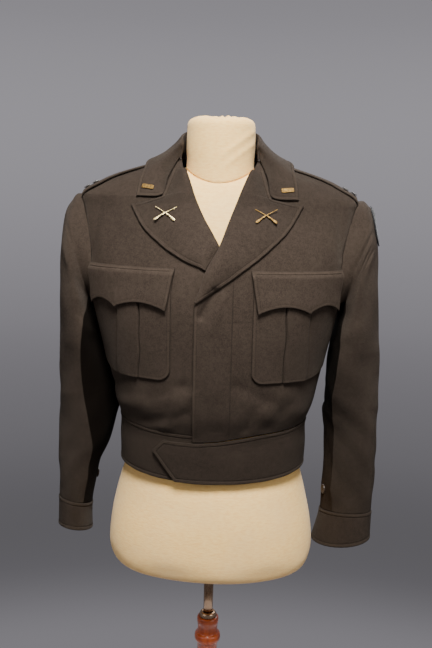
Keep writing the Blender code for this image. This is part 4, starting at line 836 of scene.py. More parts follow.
# Over each pocket hangs a flap cut in two hollow arcs that meet in a point. Its top is turned under
# and stitched to the front, and its lower corners stand a little away from the pocket.
flap_top_z = 1.277
arcs = {
    # side: across where the arcs meet, lowest points' height, rise of the inner and outer arc
    -1: (0.560, 1.2088, 0.0118, 0.0126),
    1: (0.525, 1.2088, 0.0120, 0.0122),
}
flap_across = steps_between(0.136, 0.0016)
flap_down = steps_between(0.068, 0.0016)
for side, side_name in sides:
    point_at, low, inner_rise, outer_rise = arcs[side]
    inner_arc = np.clip(flap_across / point_at, 0.0, 1.0)
    outer_arc = np.clip((flap_across - point_at) / (1 - point_at), 0.0, 1.0)
    foot = low + inner_rise * np.sin(math.pi * inner_arc) ** 0.75
    foot = foot + outer_rise * np.sin(math.pi * outer_arc) ** 0.75 + 0.0014 * flap_across
    share = flap_down[:, None]
    height = flap_top_z + (foot - flap_top_z) * share
    near = turn_at(0.060 + 0.012 * share + 0 * height, height)
    far = turn_at(0.207 - 0.009 * share + 0 * height, height)
    turn = near + (far - near) * flap_across
    front_lift = overlap_lift(torso_ring(turn, height)[..., 0], height) if side > 0 else 0 * turn
    stack = 0.0013 + cloth_thickness + pleat_height + rest_gap
    loose = 0.0022 * ease((share - 0.45) / 0.55) * np.sin(math.pi * np.clip(flap_across, 0.02, 0.98)) ** 0.5
    curl = (0.0032 if side > 0 else 0.0018) * ease((flap_across - 0.80) / 0.20) * ease((share - 0.5) / 0.5)
    curl = curl + 0.0012 * ease((0.16 - flap_across) / 0.16) * ease((share - 0.5) / 0.5)
    under = front_lift + np.maximum(rest_gap, stack * ease((1.279 - height) / 0.014)) + loose + curl

    def flap_surface(out, side=side, turn=turn, height=height, under=under):
        return torso(side * turn, height, under + out)

    cut_piece(f"{side_name}_flap", flap_surface, ["top", "foot", "start", "end"], f"flap_{side_name}",
              soft_welts=("foot", "start", "end"))

# The lapels are the fronts' upper edges turned back on a soft roll and faced with the same serge.
# Each runs up to a point, then along the gorge seam to the collar; the edge is stitched 6 mm in.
left_lapel_edge = np.array((
    # along, roll_z, edge_x, edge_z in millimetres
    (0.00, 1224, -18, 1227.5),
    (0.15, 1242, 9, 1246.5),
    (0.35, 1276, 43, 1272),
    (0.55, 1308, 85, 1306),
    (0.70, 1340, 118, 1340),
    (0.82, 1370, 140, 1378),
    (0.90, 1395, 88, 1386),
    (1.00, 1438, 70, 1440),
)) * (1, mm, mm, mm)
right_lapel_edge = np.array((
    # along, roll_z, edge_x, edge_z in millimetres
    (0.00, 1276, -20, 1278.5),
    (0.15, 1290, -38, 1285),
    (0.35, 1310, -62, 1297),
    (0.55, 1332, -88, 1314),
    (0.70, 1354, -118, 1340),
    (0.82, 1375, -139, 1372),
    (0.90, 1397, -88, 1386),
    (1.00, 1438, -70, 1440),
)) * (1, mm, mm, mm)
fold_radius = 0.0012
point_along = 0.82


def left_roll(z):
    """x of the left front's roll line at a height."""
    return smooth_rows(left_roll_line, z)[..., 0]


def right_roll(z):
    """x of the right front's roll line, kept clear of the left lapel's."""
    return np.minimum(smooth_rows(right_roll_line, z)[..., 0], left_roll(z) - 0.0088)


def lapel_surface(roll, table, lift, along, covered_below):
    """The turned-back cloth: columns go round the roll on an arc of the fold's radius, then straight
    out over the front to the free edge, puffed by a half sine. Where the roll is covered it is flat.
    From its foot to its point the edge is smooth, and beyond that it is straight from row to row."""
    smooth = smooth_rows(table[table[:, 0] <= point_along], along)
    straight = np.stack([np.interp(along, table[:, 0], table[:, k]) for k in (1, 2, 3)], 1)
    roll_z, edge_x, edge_z = np.where((along <= point_along)[:, None], smooth, straight).T
    roll_x = roll(roll_z)
    base = on_front(roll_x, roll_z, lift(roll_x, roll_z))
    normal = unit(on_front(roll_x, roll_z, lift(roll_x, roll_z) + 0.001) - base)
    side = np.sign(edge_x[len(along) // 2] - roll_x[len(along) // 2])
    aside = unit(np.cross(normal, np.gradient(base, axis=0)))
    aside = aside * np.where(aside[:, :1] * side > 0, -1.0, 1.0)
    first = np.where(roll_z < covered_below, -0.25, -quarter_turn)
    bend = first[:, None] + (quarter_turn - first)[:, None] * np.linspace(0.0, 1.0, 12)
    spin = np.cos(bend)[..., None] * aside[:, None] + np.sin(bend)[..., None] * normal[:, None]
    centre = (base + 0.0004 * aside + fold_radius * normal)[:, None]
    width = np.hypot(edge_x - roll_x, edge_z - roll_z)[:, None]
    close = welt_steps[::-1] * np.minimum(width * 0.45 / welt_steps[-1], 1.0) / width
    share = np.concatenate([np.linspace(0.02, 1.0, 34)[:-1] * (1 - close[:, :1]), 1 - close], axis=1)
    x = roll_x[:, None] + (edge_x - roll_x)[:, None] * share
    z = roll_z[:, None] + (edge_z - roll_z)[:, None] * share
    puff = 0.0045 * np.sin(math.pi * np.minimum(share, 0.9) ** 0.6) * ease(width / 0.06)
    under = lift(x, z) + rest_gap + (2 * fold_radius - rest_gap) * (1 - share) + puff

    def surface(out):
        out = np.zeros((len(along), bend.shape[1] + share.shape[1])) + out
        turned_part = centre + (fold_radius + out[:, :12])[..., None] * spin
        return np.concatenate([turned_part, on_front(x, z, under + out[:, 12:])], axis=1)

    return surface


lapel_along = np.concatenate([np.linspace(0.0, 0.70, 74), np.linspace(0.70, 0.80, 14)[1:],
                              np.linspace(0.80, 0.92, 44)[1:], np.linspace(0.92, 0.985, 12)[1:]])
cut_piece("right_lapel", lapel_surface(right_roll, right_lapel_edge, lambda x, z: 0 * x, lapel_along, 1.314),
          ["end"], "lapel_right", seams=["top", "foot"])
cut_piece("left_lapel", lapel_surface(left_roll, left_lapel_edge, overlap_lift, lapel_along, 0.0),
          ["end"], "lapel_left", seams=["top", "foot"])

# The collar is one doubled piece: a stand sewn round the neck, a fold, and a fall that ends in two
# pointed leaves lying over the lapels' gorge. It is stitched 6 mm from its edge all round.
collar_lines = mm * np.array((
    # x, y and z in millimetres at the back, a quarter round, beside the neck and at the front
    (0, 63, 1457.5,  44.5, 45, 1457.5,  64, 5, 1460,  63.5, -21, 1459),
    (0, 60.8, 1478,  43, 43.5, 1478,  60.8, 4.5, 1475,  61, -26, 1466),
    (0, 62.5, 1496,  44.5, 45, 1495.5,  61.5, 4, 1489.5,  61.5, -30, 1474),
    (0, 67, 1498.5,  47.5, 48, 1497.5,  65, 3.5, 1491,  65.5, -33, 1475.5),
    (0, 78, 1488,  57, 56, 1486,  74.5, 3, 1478.5,  78, -36, 1465),
    (0, 92, 1468,  71, 66, 1466.5,  93, 1, 1462,  99, -39, 1448),
    (0, 101, 1448,  83, 74, 1448,  119, 0, 1448,  125, -41.8, 1430.2),
)).reshape(7, 4, 3).swapaxes(0, 1)
collar_turn = mm * np.array(((80.0, 1435.0, 7.5), (98.0, 1419.0, 6.8), (129.0, 1408.0, 4.2)))
collar_end = mm * np.array(((80.5, 1415.0, 6.2), (89.2, 1387.8, 5.4), (131.5, 1385.8, 4.0)))

start = on_front(0.066, 1.446)
start_normal = unit(on_front(0.066, 1.446, 0.001) - start)
start_aside = unit(np.array((-0.92, -0.30, -0.25)))
bend = np.radians((0.0, 28.0, 56.0, 84.0))[:, None]
bend = start + (fold_radius + 0.0003) * start_normal + (fold_radius + cloth_thickness) * (
    np.cos(bend) * start_aside + np.sin(bend) * start_normal)
leaf_end = np.concatenate([bend, on_front(*collar_end.T)])
leaf_turn = np.concatenate([0.5 * (collar_lines[3, :4] + leaf_end[:4]), on_front(*collar_turn.T)])
half_net = np.concatenate([collar_lines, leaf_turn[None], leaf_end[None]])
net = np.concatenate([half_net[:0:-1] * np.array([-1.0, 1.0, 1.0]), half_net])
toward_end = 5.0 - (welt_steps / 0.034)[::-1]
stations = np.concatenate([np.linspace(0.0, 3.0, 52), np.linspace(3.0, toward_end[0], 34)[1:],
                           toward_end[1:]])
stations = np.concatenate([-stations[:0:-1], stations])
toward_edge = 6.0 - (welt_steps / 0.030)[::-1]
lines = np.concatenate([np.linspace(0.0, 2.0, 13), np.linspace(2.0, 3.0, 10)[1:],
                        np.linspace(3.0, 5.0, 20)[1:], np.linspace(5.0, toward_edge[0], 9)[1:],
                        toward_edge[1:]])
rows = smooth_rows(np.column_stack([np.linspace(-5.0, 5.0, 11), net.reshape(11, -1)]), stations)
rows = np.moveaxis(rows.reshape(len(stations), 7, 3), 1, 0).reshape(7, -1)
collar_grid = smooth_rows(np.column_stack([np.arange(7.0), rows]), lines)
collar_grid = np.moveaxis(collar_grid.reshape(len(lines), len(stations), 3), 0, 1)
collar_normal = unit(np.cross(np.gradient(collar_grid, axis=1), np.gradient(collar_grid, axis=0)))
if collar_normal[len(stations) // 2, -1, 1] < 0:
    collar_normal = -collar_normal


def collar_surface(out):
    """The net of lines through the collar, smooth both ways, moved along its normal."""
    return collar_grid + collar_normal * (np.zeros(collar_grid.shape[:2]) + out - cloth_thickness)[..., None]


cut_piece("folded_collar", collar_surface, ["top_leaf", "foot_leaf", "end"], "collar",
          seams=["start", "top", "foot"],
          leaf_from=int(np.searchsorted(lines, 4.9)))

# A shoulder strap of doubled serge lies over each shoulder. Its inner end is under the collar, and
# its outer end is caught in the seam at the sleeve's head.
strap_table = mm * np.array((
    # x, centre_y, half_width in millimetres
    (104, -2, 16), (112, -2, 20.5), (150, -2, 22.5), (190, -1, 24.5), (229, 0, 26.5)))


def shoulder_height(x, y):
    """Height of the body over a point of the shoulder, found by halving the interval 40 times."""
    low = np.full(np.shape(x), 1.330)
    high = np.full(np.shape(x), 1.4555)
    for _ in range(40):
        middle = 0.5 * (low + high)
        half_width, front, back, power = np.moveaxis(smooth_rows(torso_table, middle), -1, 0)
        depth = np.where(y < 0, front, back)
        inside = (np.abs(x) / half_width) ** power + (np.abs(y) / depth) ** power < 1
        low = np.where(inside, middle, low)
        high = np.where(inside, high, middle)
    return low


def strap_rise(x):
    """How far the strap's end has risen over the sleeve's seam at an x."""
    return 0.0010 * ease((x - 0.195) / 0.030)


def shoulder_point(x, y, lift):
    """Point over the shoulder, moved out along the normal from differences 1 mm each way."""
    def face(px, py):
        return np.stack([px, py, shoulder_height(px, py)], -1)

    normal = unit(np.cross(face(x + 0.001, y) - face(x - 0.001, y), face(x, y + 0.001) - face(x, y - 0.001)))
    return face(x, y) + normal * np.asarray(lift)[..., None]


strap_x = 0.104 + 0.125 * steps_between(0.125, 0.0030, True, False)
strap_across = 2 * steps_between(0.046, 0.0022) - 1
centre, half_width = smooth_rows(strap_table, strap_x).T[..., None]
strap_y = centre + half_width * strap_across
strap_x = np.repeat(strap_x[:, None], len(strap_across), axis=1)
for side, side_name in sides:
    def strap_surface(out, side=side):
        lift = rest_gap + strap_rise(strap_x) + out
        return shoulder_point(strap_x, strap_y, lift) * np.array([side, 1.0, 1.0])

    cut_piece(f"{side_name}_shoulder_strap", strap_surface, ["top", "start", "end"],
              f"shoulder_strap_{side_name}")

# Each sleeve is cut in two, a top sleeve and an under sleeve, with a pressed edge down its front
# seam. The head is eased into the armhole, and the cloth breaks into folds round the elbow.
left_sleeve = np.array((
    # along, outer_x, outer_z, inner_x, inner_z, centre_y and half_depth in millimetres, twist in degrees
    (0.04, 250, 1383.5, 215, 1198.5, 4, 70, 0),
    (0.09, 261, 1370, 214, 1196, 4, 76, 0),
    (0.15, 268, 1340, 212, 1187, 3, 79, 0),
    (0.22, 272, 1298, 208.5, 1172, 2, 80, 0),
    (0.30, 276.5, 1246, 203.5, 1151, 2, 80, 0),
    (0.40, 282, 1185, 199, 1119, 4, 79, 0),
    (0.50, 287, 1120, 197, 1079, 8, 77, 4),
    (0.60, 289, 1060, 198, 1038, 8, 75, 10),
    (0.70, 287, 1005, 199, 999, 4, 72, 18),
    (0.80, 285, 950, 203.5, 950, -4, 70, 26),
    (0.90, 284, 896, 203, 892, -10, 67, 34),
    (1.00, 283, 848, 200, 835, -14, 64, 40),
    (1.10, 283, 806, 187, 771, -16, 63, 42),
)) * (1, mm, mm, mm, mm, mm, mm, 1)
right_sleeve = np.array((
    # along, outer_x, outer_z, inner_x, inner_z, centre_y and half_depth in millimetres, twist in degrees
    (0.04, 250, 1381.5, 215, 1198.5, 4, 70, 0),
    (0.09, 260, 1366, 214, 1196, 4, 76, 0),
    (0.15, 267, 1338, 212, 1187, 3, 79, 0),
    (0.22, 269, 1298, 208.5, 1172, 2, 80, 0),
    (0.30, 272, 1246, 203, 1151, 3, 80, 0),
    (0.40, 275, 1185, 196, 1119, 8, 79, 0),
    (0.50, 277.5, 1120, 186, 1079, 14, 77, 0),
    (0.60, 279, 1060, 176.5, 1038, 16, 75, 0),
    (0.70, 279, 1005, 175.5, 999, 12, 72, 0),
    (0.80, 278, 950, 187, 950, 4, 70, 0),
    (0.90, 276, 895, 209, 898, -4, 68, -4),
    (1.00, 274, 845, 220, 828, -10, 66, -6),
    (1.10, 274.5, 792, 220, 778, -13, 65, -6),
)) * (1, mm, mm, mm, mm, mm, mm, 1)
sleeve_folds = (
    # side (0 both), along, round_degrees, half_along, half_round_degrees, skew, height
    (0, 0.160, 120, 0.030, 22, 0.0000, 0.0018),
    (0, 0.330, 60, 0.030, 35, 0.0000, 0.0012),
    (0, 0.520, 300, 0.022, 50, 0.0000, 0.0030),
    (0, 0.590, 250, 0.020, 55, 0.0000, 0.0026),
    (0, 0.670, 320, 0.024, 50, 0.0000, 0.0022),
    (0, 0.780, 130, 0.030, 45, 0.0000, 0.0010),
    (0, 0.455, 130, 0.020, 40, 0.0006, 0.0008),
    (0, 0.545, 140, 0.018, 34, -0.0007, -0.0008),
    (0, 0.630, 130, 0.018, 40, 0.0008, 0.0008),
    (0, 0.705, 145, 0.016, 34, -0.0006, -0.0007),
    (0, 0.860, 135, 0.016, 30, 0.0006, 0.0007),
    (1, 0.056, 100, 0.0085, 15, 0.0012, -0.0046),
    (1, 0.083, 114, 0.0085, 16, 0.0012, -0.0044),
    (1, 0.110, 102, 0.0085, 15, 0.0010, -0.0038),
    (1, 0.143, 114, 0.0095, 17, 0.0008, -0.0028),
    (-1, 0.080, 118, 0.012, 16, 0.0008, -0.0020),
)
sleeves = ((-1, "right", right_sleeve), (1, "left", left_sleeve))
head_end, arm_half = 0.04, 0.032
back_seam = 288.0
front_seam_table = (
    # along, degrees round the right sleeve, round the left one
    (0.00, 28.0, 40.0),
    (0.20, 46.0, 42.0),
    (0.30, 65.0, 51.0),
    (0.38, 74.0, 54.0),
    (0.50, 83.0, 50.0),
    (0.60, 84.0, 34.0),
    (0.70, 77.0, 18.0),
    (0.85, 54.0, 2.0),
    (1.10, 32.0, -6.0),
)


def front_seam(along, side):
    """Degrees round the sleeve at which its front seam runs."""
    return smooth_rows(front_seam_table, along)[..., 0 if side < 0 else 1]


def sleeve_ring(table, along, around):
    """Point of a ring between the inner and outer line of the arm, squashed front to back and turned by
    its twist, whose height falls toward the back by 0.3 of the depth at the cuff."""
    outer_x, outer_z, inner_x, inner_z, centre_y, half_depth, twist = np.moveaxis(
        smooth_rows(table, np.maximum(along, head_end)), -1, 0)
    away, forward = -np.cos(around), -np.sin(around)
    spin = np.radians(twist)
    half_x = 0.5 * (outer_x - inner_x)
    deep, wide = half_depth * forward, arm_half * away
    reach = np.hypot(half_depth * np.sin(spin), arm_half * np.cos(spin))
    turned_x = (wide * np.cos(spin) - deep * np.sin(spin)) / reach * half_x
    turned_y = deep * np.cos(spin) + wide * np.sin(spin)
    share = ease(np.abs(twist) / 20.0)
    x = 0.5 * (outer_x + inner_x) + half_x * away + (turned_x - half_x * away) * share
    y = centre_y + deep + (turned_y - deep) * share
    z = 0.5 * (outer_z + inner_z) + 0.5 * (outer_z - inner_z) * away
    z = z - 0.30 * (y - centre_y) * ease((along - 0.70) / 0.30)
    return np.stack([x, y, z], -1)


def sleeve_skin(table, along, around):
    """The sleeve's rings, and before them the head: a cubic that leaves the armhole's edge straight for
    the first ring and arrives there along the rings."""
    along, around = np.broadcast_arrays(along, around)
    ring = sleeve_ring(table, along, around)
    away = -np.cos(around)
    height = armpit_z + (shoulder_z - armpit_z) * (1 + away) / 2
    turn = quarter_turn - np.where(np.sin(around) >= 0, 1.0, -1.0) * armhole_angle(height)
    hole = torso(turn, height)
    first = sleeve_ring(table, head_end + 0 * around, around)
    step = 0.012
    slope = (sleeve_ring(table, head_end + step + 0 * around, around) - first) * head_end / step
    s = np.clip(along / head_end, 0.0, 1.0)[..., None]
    head = ((2 * s**3 - 3 * s**2 + 1) * hole + (s**3 - 2 * s**2 + s) * (first - hole)
            + (3 * s**2 - 2 * s**3) * first + (s**3 - s**2) * slope)
    return np.where(along[..., None] < head_end, head, ring)


def sleeve_crease(along, around, side):
    """Folds are bells along the sleeve and round it; the pressed front seam is a peak that falls off
    by the exponential of the angle; a roll just past the head's seam is a bell along the sleeve."""
    degrees = np.degrees(around) % 360.0
    height = 0.0008 * np.sin(23 * along + 3 * around) + 0.0006 * np.sin(41 * along - 5 * around + side)
    for only, place, turn, half_along, half_round, skew, tall in sleeve_folds:
        if only in (0, side):
            swing = (degrees - turn + 180.0) % 360.0 - 180.0
            height = height + tall * np.exp(-(((along - place - skew * swing) / half_along) ** 2)
                                            - (swing / half_round) ** 2)
    height = height * ease(along / 0.06) * ease((1.0 - along) / 0.06)
    front = np.abs((degrees - front_seam(along, side) + 180.0) % 360.0 - 180.0)
    back = np.abs((degrees - back_seam + 180.0) % 360.0 - 180.0)
    pressed = 0.0070 * np.exp(-front / 13.0) + 0.0030 * np.exp(-back / 11.0)
    pressed = pressed * ease((along - 0.16) / 0.22) * ease((1.02 - along) / 0.10)
    roll = 0.0016 * np.exp(-(((along - 0.020) / 0.011) ** 2))
    return height + pressed + roll * ease((np.abs(degrees - 180.0) - 100.0) / -30.0)


def sleeve_surface(table, along, around, side, lift=0.0):
    """Surface of a sleeve, or of what lies on it, over a grid of places along and round it, mirrored
    for the side given."""
    along, around = np.broadcast_arrays(along[:, None], around)
    skin = sleeve_skin(table, along, around)
    beside, beyond = 0.02, 0.003
    across = sleeve_skin(table, along, around + beside) - sleeve_skin(table, along, around - beside)
    before = sleeve_skin(table, np.maximum(along - beyond, 0.0), around)
    up = sleeve_skin(table, along + beyond, around) - before
    normal = unit(np.cross(across, up))
    inward = skin.mean(axis=1, keepdims=True) - skin
    if np.sum(normal * inward * np.array([1.0, 1.0, 0.0])) > 0:
        normal = -normal
    crease = sleeve_crease(along, around, side) + lift

    def surface(out):
        return (skin + normal * (crease + out - cloth_thickness)[..., None]) * np.array([side, 1.0, 1.0])

    return surface


sleeve_along = np.concatenate([np.linspace(0.0, 0.30, 72), np.linspace(0.30, 1.0, 118)[1:-1],
                               [0.9975, 0.9990, 1.0]])
for side, side_name, table in sleeves:
    seam = front_seam(sleeve_along, side)[:, None]
    # The under sleeve takes the copy of the serge with painted shade of the arm.
    for kind, start, end, width, cloth in (("top", seam, back_seam, 0.24, serge),
                                           ("under", back_seam, 360.0 + seam, 0.18, shaded_serge[side])):
        around = np.radians(start + (end - start) * steps_between(width, 0.0034, False, False))
        cut_piece(f"{side_name}_{kind}_sleeve", sleeve_surface(table, sleeve_along, around, side), [],
                  f"{kind}_sleeve_{side_name}",
                  finishes=[cloth, lining])

# A cuff of doubled serge is sewn to each sleeve's end, with a line of stitching inside its edges.
cuff_along = 1.0 + 0.10 * steps_between(0.056, 0.0028)
cuff_round = np.linspace(0.0, 2 * math.pi, 92, endpoint=False)
for side, side_name, table in sleeves:
    cut_piece(f"{side_name}_cuff", sleeve_surface(table, cuff_along, cuff_round, side, 0.0010),
              ["top", "foot"], f"cuff_{side_name}", seams=(), wrapped=True)

# On the left sleeve, below the shoulder, is a plain patch of black felt with rounded corners. Its
# edge is overcast with thick black thread, and it is sewn to the top sleeve.
black_felt = Finish("black_felt", Sheen_Weight=0.12, Specular_IOR_Level=0.2)
fuzz = black_felt.noise(black_felt.place(), 700.0, 4.0, 0.7)
patch_run, patch_edge, _ = black_felt.axes(black_felt.place(uv_map="stitching"))
overcast = patch_run.wave(0.0011) * patch_edge.near(0.0012, 0.0014)
black_felt.vary(Base_Color=black_felt.blend(fuzz * 0.6 + overcast * 0.4, (0.0080, 0.0080, 0.0090),
                                            (0.0240, 0.0235, 0.0240)), Roughness=fuzz * 0.12 + 0.82)
black_felt.relief(fuzz * 0.7 + overcast, 0.0005)
patch_along = 0.062 + 0.125 * steps_between(0.075, 0.0018)
patch_down = 2 * (patch_along - 0.1245) / 0.125
patch_half = math.radians(21) * (1 - 0.55 * np.abs(patch_down) ** 3)
patch_round = math.radians(168) + patch_half[:, None] * (2 * steps_between(0.054, 0.0018) - 1)
cut_piece("plain_shoulder_patch",
          sleeve_surface(left_sleeve, patch_along, patch_round, 1, 0.0010 + cloth_thickness),
          ["top", "foot", "start", "end"], "shoulder_patch", thickness=0.0016,
          welt=0.0004, finishes=[black_felt, black_felt], slot="black_cloth")

# A plain brass bar is pinned along each collar leaf, and a crossed pair of old long guns in stamped
# brass on each lapel, held by clutches behind the cloth. One pair is paler than the other, by a
# painted highlight for the light that pair reflects.
def brass_finish(name, bright, dark, dulled):
    """Stamped brass: tarnish in broad patches, fine scratches."""
    finish = Finish(name, Metallic=1.0)
    tarnish = finish.noise(finish.place(), 420.0, 4.0, 0.6)
    scratch = finish.noise(finish.place((1.0, 1.0, 0.2)), 2600.0, 2.0)
    finish.vary(Base_Color=finish.blend(tarnish.past(0.38, 3.2), bright, dark),
                Roughness=tarnish * 0.30 + scratch * 0.10 + dulled)
    finish.relief(scratch * 0.5 + tarnish * 0.5, 0.00006)
    return finish


# The paler brass, used for the right pair of guns, is paler by a painted highlight.
brass_with_painted_highlight = brass_finish("brass_with_painted_highlight", (0.76, 0.61, 0.30), (0.48, 0.35, 0.14), 0.12)
dark_brass = brass_finish("tarnished_brass", (0.25, 0.155, 0.050), (0.11, 0.062, 0.020), 0.42)


def stood(points, seat, normal, upward, turn=0.0):
    """Points laid on a surface: their Z along its normal, their Y near the upward direction."""
    z_axis = unit(np.asarray(normal, float))
    x_axis = unit(np.cross(upward, z_axis))
    y_axis = np.cross(z_axis, x_axis)
    x = points[..., :1] * math.cos(turn) - points[..., 1:2] * math.sin(turn)
    y = points[..., :1] * math.sin(turn) + points[..., 1:2] * math.cos(turn)
    return seat + x * x_axis + y * y_axis + points[..., 2:] * z_axis


def bevelled_plate(width, length, thickness, bevel):
    """Rings of a plate: rounded rectangles of power 9, drawn in at the underside and over a bevel, then
    to the middle of a slightly domed top."""
    angle = np.linspace(0.0, 2 * math.pi, 120, endpoint=False)
    inset = np.array([1.0, 0.3, 0.0, 0.0, 0.12, 0.45, 1.0, 1.6, min(width, length) * 0.44 / bevel]) * bevel
    height = np.array([0.0, 0.0, 0.25, -1.0, -0.5, -0.14, 0.0, 0.0, 0.00015 / bevel]) * bevel
    height[3:] += thickness
    round_x = np.sign(np.sin(angle)) * np.abs(np.sin(angle)) ** (2 / 9)
    round_y = np.sign(np.cos(angle)) * np.abs(np.cos(angle)) ** (2 / 9)
    x = (width / 2 - inset)[:, None] * round_x
    y = (length / 2 - inset)[:, None] * round_y
    return np.stack([x, y, height[:, None] + 0 * x], -1)


gun_stations = np.linspace(-0.5, 0.5, 120)
gun_upper = np.interp(gun_stations, (-0.5, -0.49, -0.1, 0.0, 0.02, 0.15, 0.18, 0.47, 0.5),
                      (0.003, 0.012, 0.015, 0.017, 0.028, 0.029, 0.015, 0.002, -0.030))
gun_lower = np.interp(gun_stations, (-0.5, -0.49, -0.1, 0.07, 0.10, 0.125, 0.155, 0.20, 0.42, 0.49, 0.5),
                      (-0.007, -0.015, -0.022, -0.032, -0.055, -0.064, -0.040, -0.044, -0.108, -0.098,
                       -0.080))


def gun_rings(side, rise):
    """One gun from muzzle to butt: at each station an ellipse between its lower and upper edge, which
    are shares of the gun's length, tilted down toward the butt."""
    long, tilt = 0.042, math.radians(31)
    angle = np.linspace(0.0, 2 * math.pi, 28, endpoint=False)
    middle, half = (gun_upper + gun_lower)[:, None] / 2, (gun_upper - gun_lower)[:, None] / 2
    along = long * gun_stations[:, None] + 0 * angle
    across = long * (middle + half * np.cos(angle))
    thick = 0.0006 * np.clip(half / 0.02, 0.6, 1.35)
    high = rise + 0.0007 + thick * np.sign(np.sin(angle)) * np.abs(np.sin(angle)) ** 0.7
    x = side * (math.cos(tilt) * along + math.sin(tilt) * across)
    y = -math.sin(tilt) * along + math.cos(tilt) * across
    return np.stack([x, y, high], -1)


def nearest_to(node, grid):
    """Row and column of the grid's point nearest to the middle of a node's box."""
    low, high = np.array(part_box(node))
    gap = np.linalg.norm(grid - (low + high) / 2, axis=-1)
    return np.unravel_index(np.argmin(gap), gap.shape)


upward = (0.0, 0.0, 1.0)
pin_x, pin_z, pin_rise = 0.0795, 1.3580, 0.0058
for side, side_name, metal in ((-1, "right", brass_with_painted_highlight), (1, "left", dark_brass)):
    at = nearest_to(f"collar_bar_{side_name}", collar_grid)
    seat = collar_grid[at] + collar_normal[at] * 0.0005
    plate = bevelled_plate(0.021, 0.0075, 0.0012, 0.0005)
    put_in(f"{side_name}_collar_bar",
           *closed_rings(stood(plate, seat, collar_normal[at], upward, side * math.radians(6))), [dark_brass],
           "brass", f"collar_bar_{side_name}", sharp=35)
    place = (np.array(side * pin_x), np.array(pin_z))
    height = rest_gap + cloth_thickness + pin_rise + (overlap_lift(*place) if side > 0 else 0.0)
    seat = on_front(*place, height)
    normal = on_front(*place, height + 0.001) - seat
    first, faces = closed_rings(stood(gun_rings(1, 0.0), seat, normal, upward))
    second, second_faces = closed_rings(stood(gun_rings(-1, 0.0005), seat, normal, upward), len(first))
    put_in(f"{side_name}_crossed_guns", np.concatenate([first, second]), faces + second_faces, [metal],
           "brass", f"crossed_guns_{side_name}", sharp=40)

# Two plain bars of dull silver plate are pinned across each shoulder strap, near the sleeve.
dull_silver = Finish("dull_silver_plate", Metallic=1.0)
wear = dull_silver.noise(dull_silver.place(), 500.0, 4.0, 0.6)
dull_silver.vary(Base_Color=dull_silver.blend(wear.past(0.38, 3.0), (0.17, 0.16, 0.15),
                                              (0.075, 0.070, 0.064)), Roughness=wear * 0.30 + 0.34)
dull_silver.relief(wear, 0.00006)
for side, side_name in sides:
    mirror = np.array([side, 1.0, 1.0])
    for number, x in enumerate((0.2100, 0.2240), 1):
        place = (np.array(x), np.array(-0.002))
        lift = rest_gap + cloth_thickness + strap_rise(x) + 0.0005
        seat = shoulder_point(*place, lift)
        normal = shoulder_point(*place, lift + 0.001) - seat
        bar = bevelled_plate(0.0095, 0.0250, 0.0016, 0.0007)
        put_in(f"{side_name}_rank_bar_{number}",
               *closed_rings(stood(bar, seat * mirror, normal * mirror, (0.0, 1.0, 0.0))), [dull_silver],
               "dark_silver", f"rank_bar_{side_name}_{number}", sharp=35)

# A dark brown pressed button with four holes is sewn beside the under sleeve's seam, above the cuff.
pressed_brown = Finish("pressed_brown", Coat_Weight=0.15, Coat_Roughness=0.2)
swirl = pressed_brown.noise(pressed_brown.place(), 380.0, 4.0, 0.6)
pressed_brown.vary(Base_Color=pressed_brown.blend(swirl.past(0.4, 3.0), (0.020, 0.013, 0.009),
                                                  (0.052, 0.032, 0.020)), Roughness=swirl * 0.25 + 0.25)
pressed_brown.relief(swirl, 0.00004)
button_profile = mm * rounded_line([(0.4, -1.7), (6, -1.7), (8, -1.2), (8.5, 0), (8.2, 1.2), (7.4, 1.7),
                                    (6.4, 1.4), (5.6, 0.6), (4, 0.3), (0.4, 0.4)], 64)
button = turned(button_profile, 72)
hole_place, hole_depth, hole_radius = 0.0016, 0.0014, 0.0008
for hole_x, hole_y in ((1, 1), (1, -1), (-1, 1), (-1, -1)):
    hole = np.hypot(button[..., 0] - hole_place * hole_x, button[..., 1] - hole_place * hole_y)
    button[..., 2] -= np.where(button[..., 2] > 0, hole_depth * np.exp(-((hole / hole_radius) ** 4)), 0.0)
for side, side_name, table in sleeves:
    around = np.radians(np.linspace(300.0, 350.0, 60))
    beside = sleeve_surface(table, np.linspace(0.92, 0.99, 60), around, side)
    skin, above = beside(cloth_thickness), beside(cloth_thickness + 0.001)
    at = nearest_to(f"cuff_button_{side_name}", skin)
    normal = unit(above[at] - skin[at])
    seat = skin[at] + normal * 0.0022
    put_in(f"{side_name}_cuff_button", *closed_rings(stood(button, seat, normal, upward)), [pressed_brown],
           "button_brown", f"cuff_button_{side_name}")

# The studio: a pale floor, a soft grey surround brightest a little above the horizon, a soft light high
# in front, weaker ones to the left and the right, one high behind, and the camera at eye height.
pale_floor = Finish("pale_floor", Roughness=0.9)
floor_tone = pale_floor.noise(pale_floor.place(), 3.0, 2.0)
pale_floor.vary(Base_Color=pale_floor.blend(floor_tone, (0.42, 0.41, 0.43), (0.46, 0.45, 0.47)))
floor_profile = np.array([(0.0005, -0.0002), (0.40, -0.0002), (0.74, -0.0002), (0.76, -0.0010),
                          (0.76, -0.02), (0.0005, -0.02)])
points, faces = closed_rings(turned(floor_profile, 96))
floor_mesh = bpy.data.meshes.new("studio_floor")
floor_mesh.from_pydata(points.tolist(), [], faces)
floor_mesh.materials.append(pale_floor.material)
floor = bpy.data.objects.new("studio_floor", floor_mesh)
bpy.context.scene.collection.objects.link(floor)

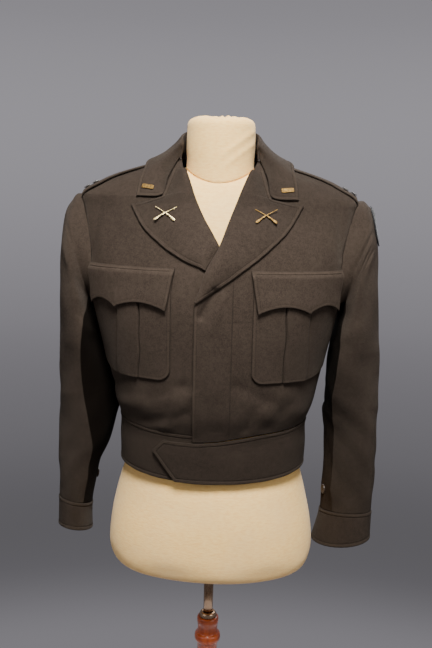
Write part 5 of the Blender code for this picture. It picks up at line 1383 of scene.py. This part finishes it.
surround = bpy.data.worlds.new("studio_surround")
bpy.context.scene.world = surround
sky = Nodes(surround)
height_levels = ((0.16, 0.100), (0.235, 0.210), (0.275, 0.120), (0.335, 0.138), (0.41, 0.214),
                 (0.514, 0.316), (0.5875, 0.268), (0.72, 0.150))
stops = [(place, (level, level * 0.965, level * 1.05, 1.0)) for place, level in height_levels]
stops = [(0.0, (0.050, 0.049, 0.053, 1.0)), *stops, (1.0, (0.130, 0.130, 0.138, 1.0))]
_, _, height = sky.axes(sky.node("ShaderNodeTexCoord").outputs["Generated"])
tone = sky.node("ShaderNodeValToRGB", {"stops": stops}, {"Fac": height * 0.5 + 0.5})
background = sky.tree.nodes["Background"]
sky.join(background.inputs["Color"], tone.outputs["Color"])
background.inputs["Strength"].default_value = 1.0

for light_name, spot, aim, size, power in (
        ("soft_key", (0.12, -1.28, 3.05), (0.0, -0.05, 1.15), 0.8, 148.0),
        ("soft_left", (-1.90, -1.80, 1.90), (0.0, 0.0, 1.15), 1.2, 9.0),
        ("soft_right", (2.10, -1.40, 2.10), (0.0, 0.0, 1.15), 1.2, 14.0),
        ("soft_back", (0.50, 1.70, 2.70), (0.0, 0.0, 1.25), 1.4, 42.0)):
    lamp = bpy.data.lights.new(light_name, "AREA")
    lamp.energy = power
    lamp.size = size
    light = bpy.data.objects.new(light_name, lamp)
    direction = Vector(aim) - Vector(spot)
    light.matrix_world = Matrix.Translation(spot) @ direction.to_track_quat("-Z", "Y").to_matrix().to_4x4()
    bpy.context.scene.collection.objects.link(light)

camera_data = bpy.data.cameras.new("photograph")
camera_data.lens = 45.0
camera_data.sensor_width = 36.0
camera_data.clip_start = 0.01
heading, dip, roll = math.radians(3.0), math.radians(10.5), math.radians(1.6)
look = Vector((-math.sin(heading) * math.cos(dip), math.cos(heading) * math.cos(dip), -math.sin(dip)))
level = Vector((math.cos(heading), math.sin(heading), 0.0))
above = level.cross(look)
right = level * math.cos(roll) + above * math.sin(roll)
upright = above * math.cos(roll) - level * math.sin(roll)
camera = bpy.data.objects.new("photograph", camera_data)
distance, eye_height = 1.40, 1.426
eye = Matrix.Translation((math.sin(heading) * distance, -math.cos(heading) * distance, eye_height))
camera.matrix_world = eye @ Matrix((right, upright, -look)).transposed().to_4x4()
bpy.context.scene.collection.objects.link(camera)
bpy.context.scene.camera = camera
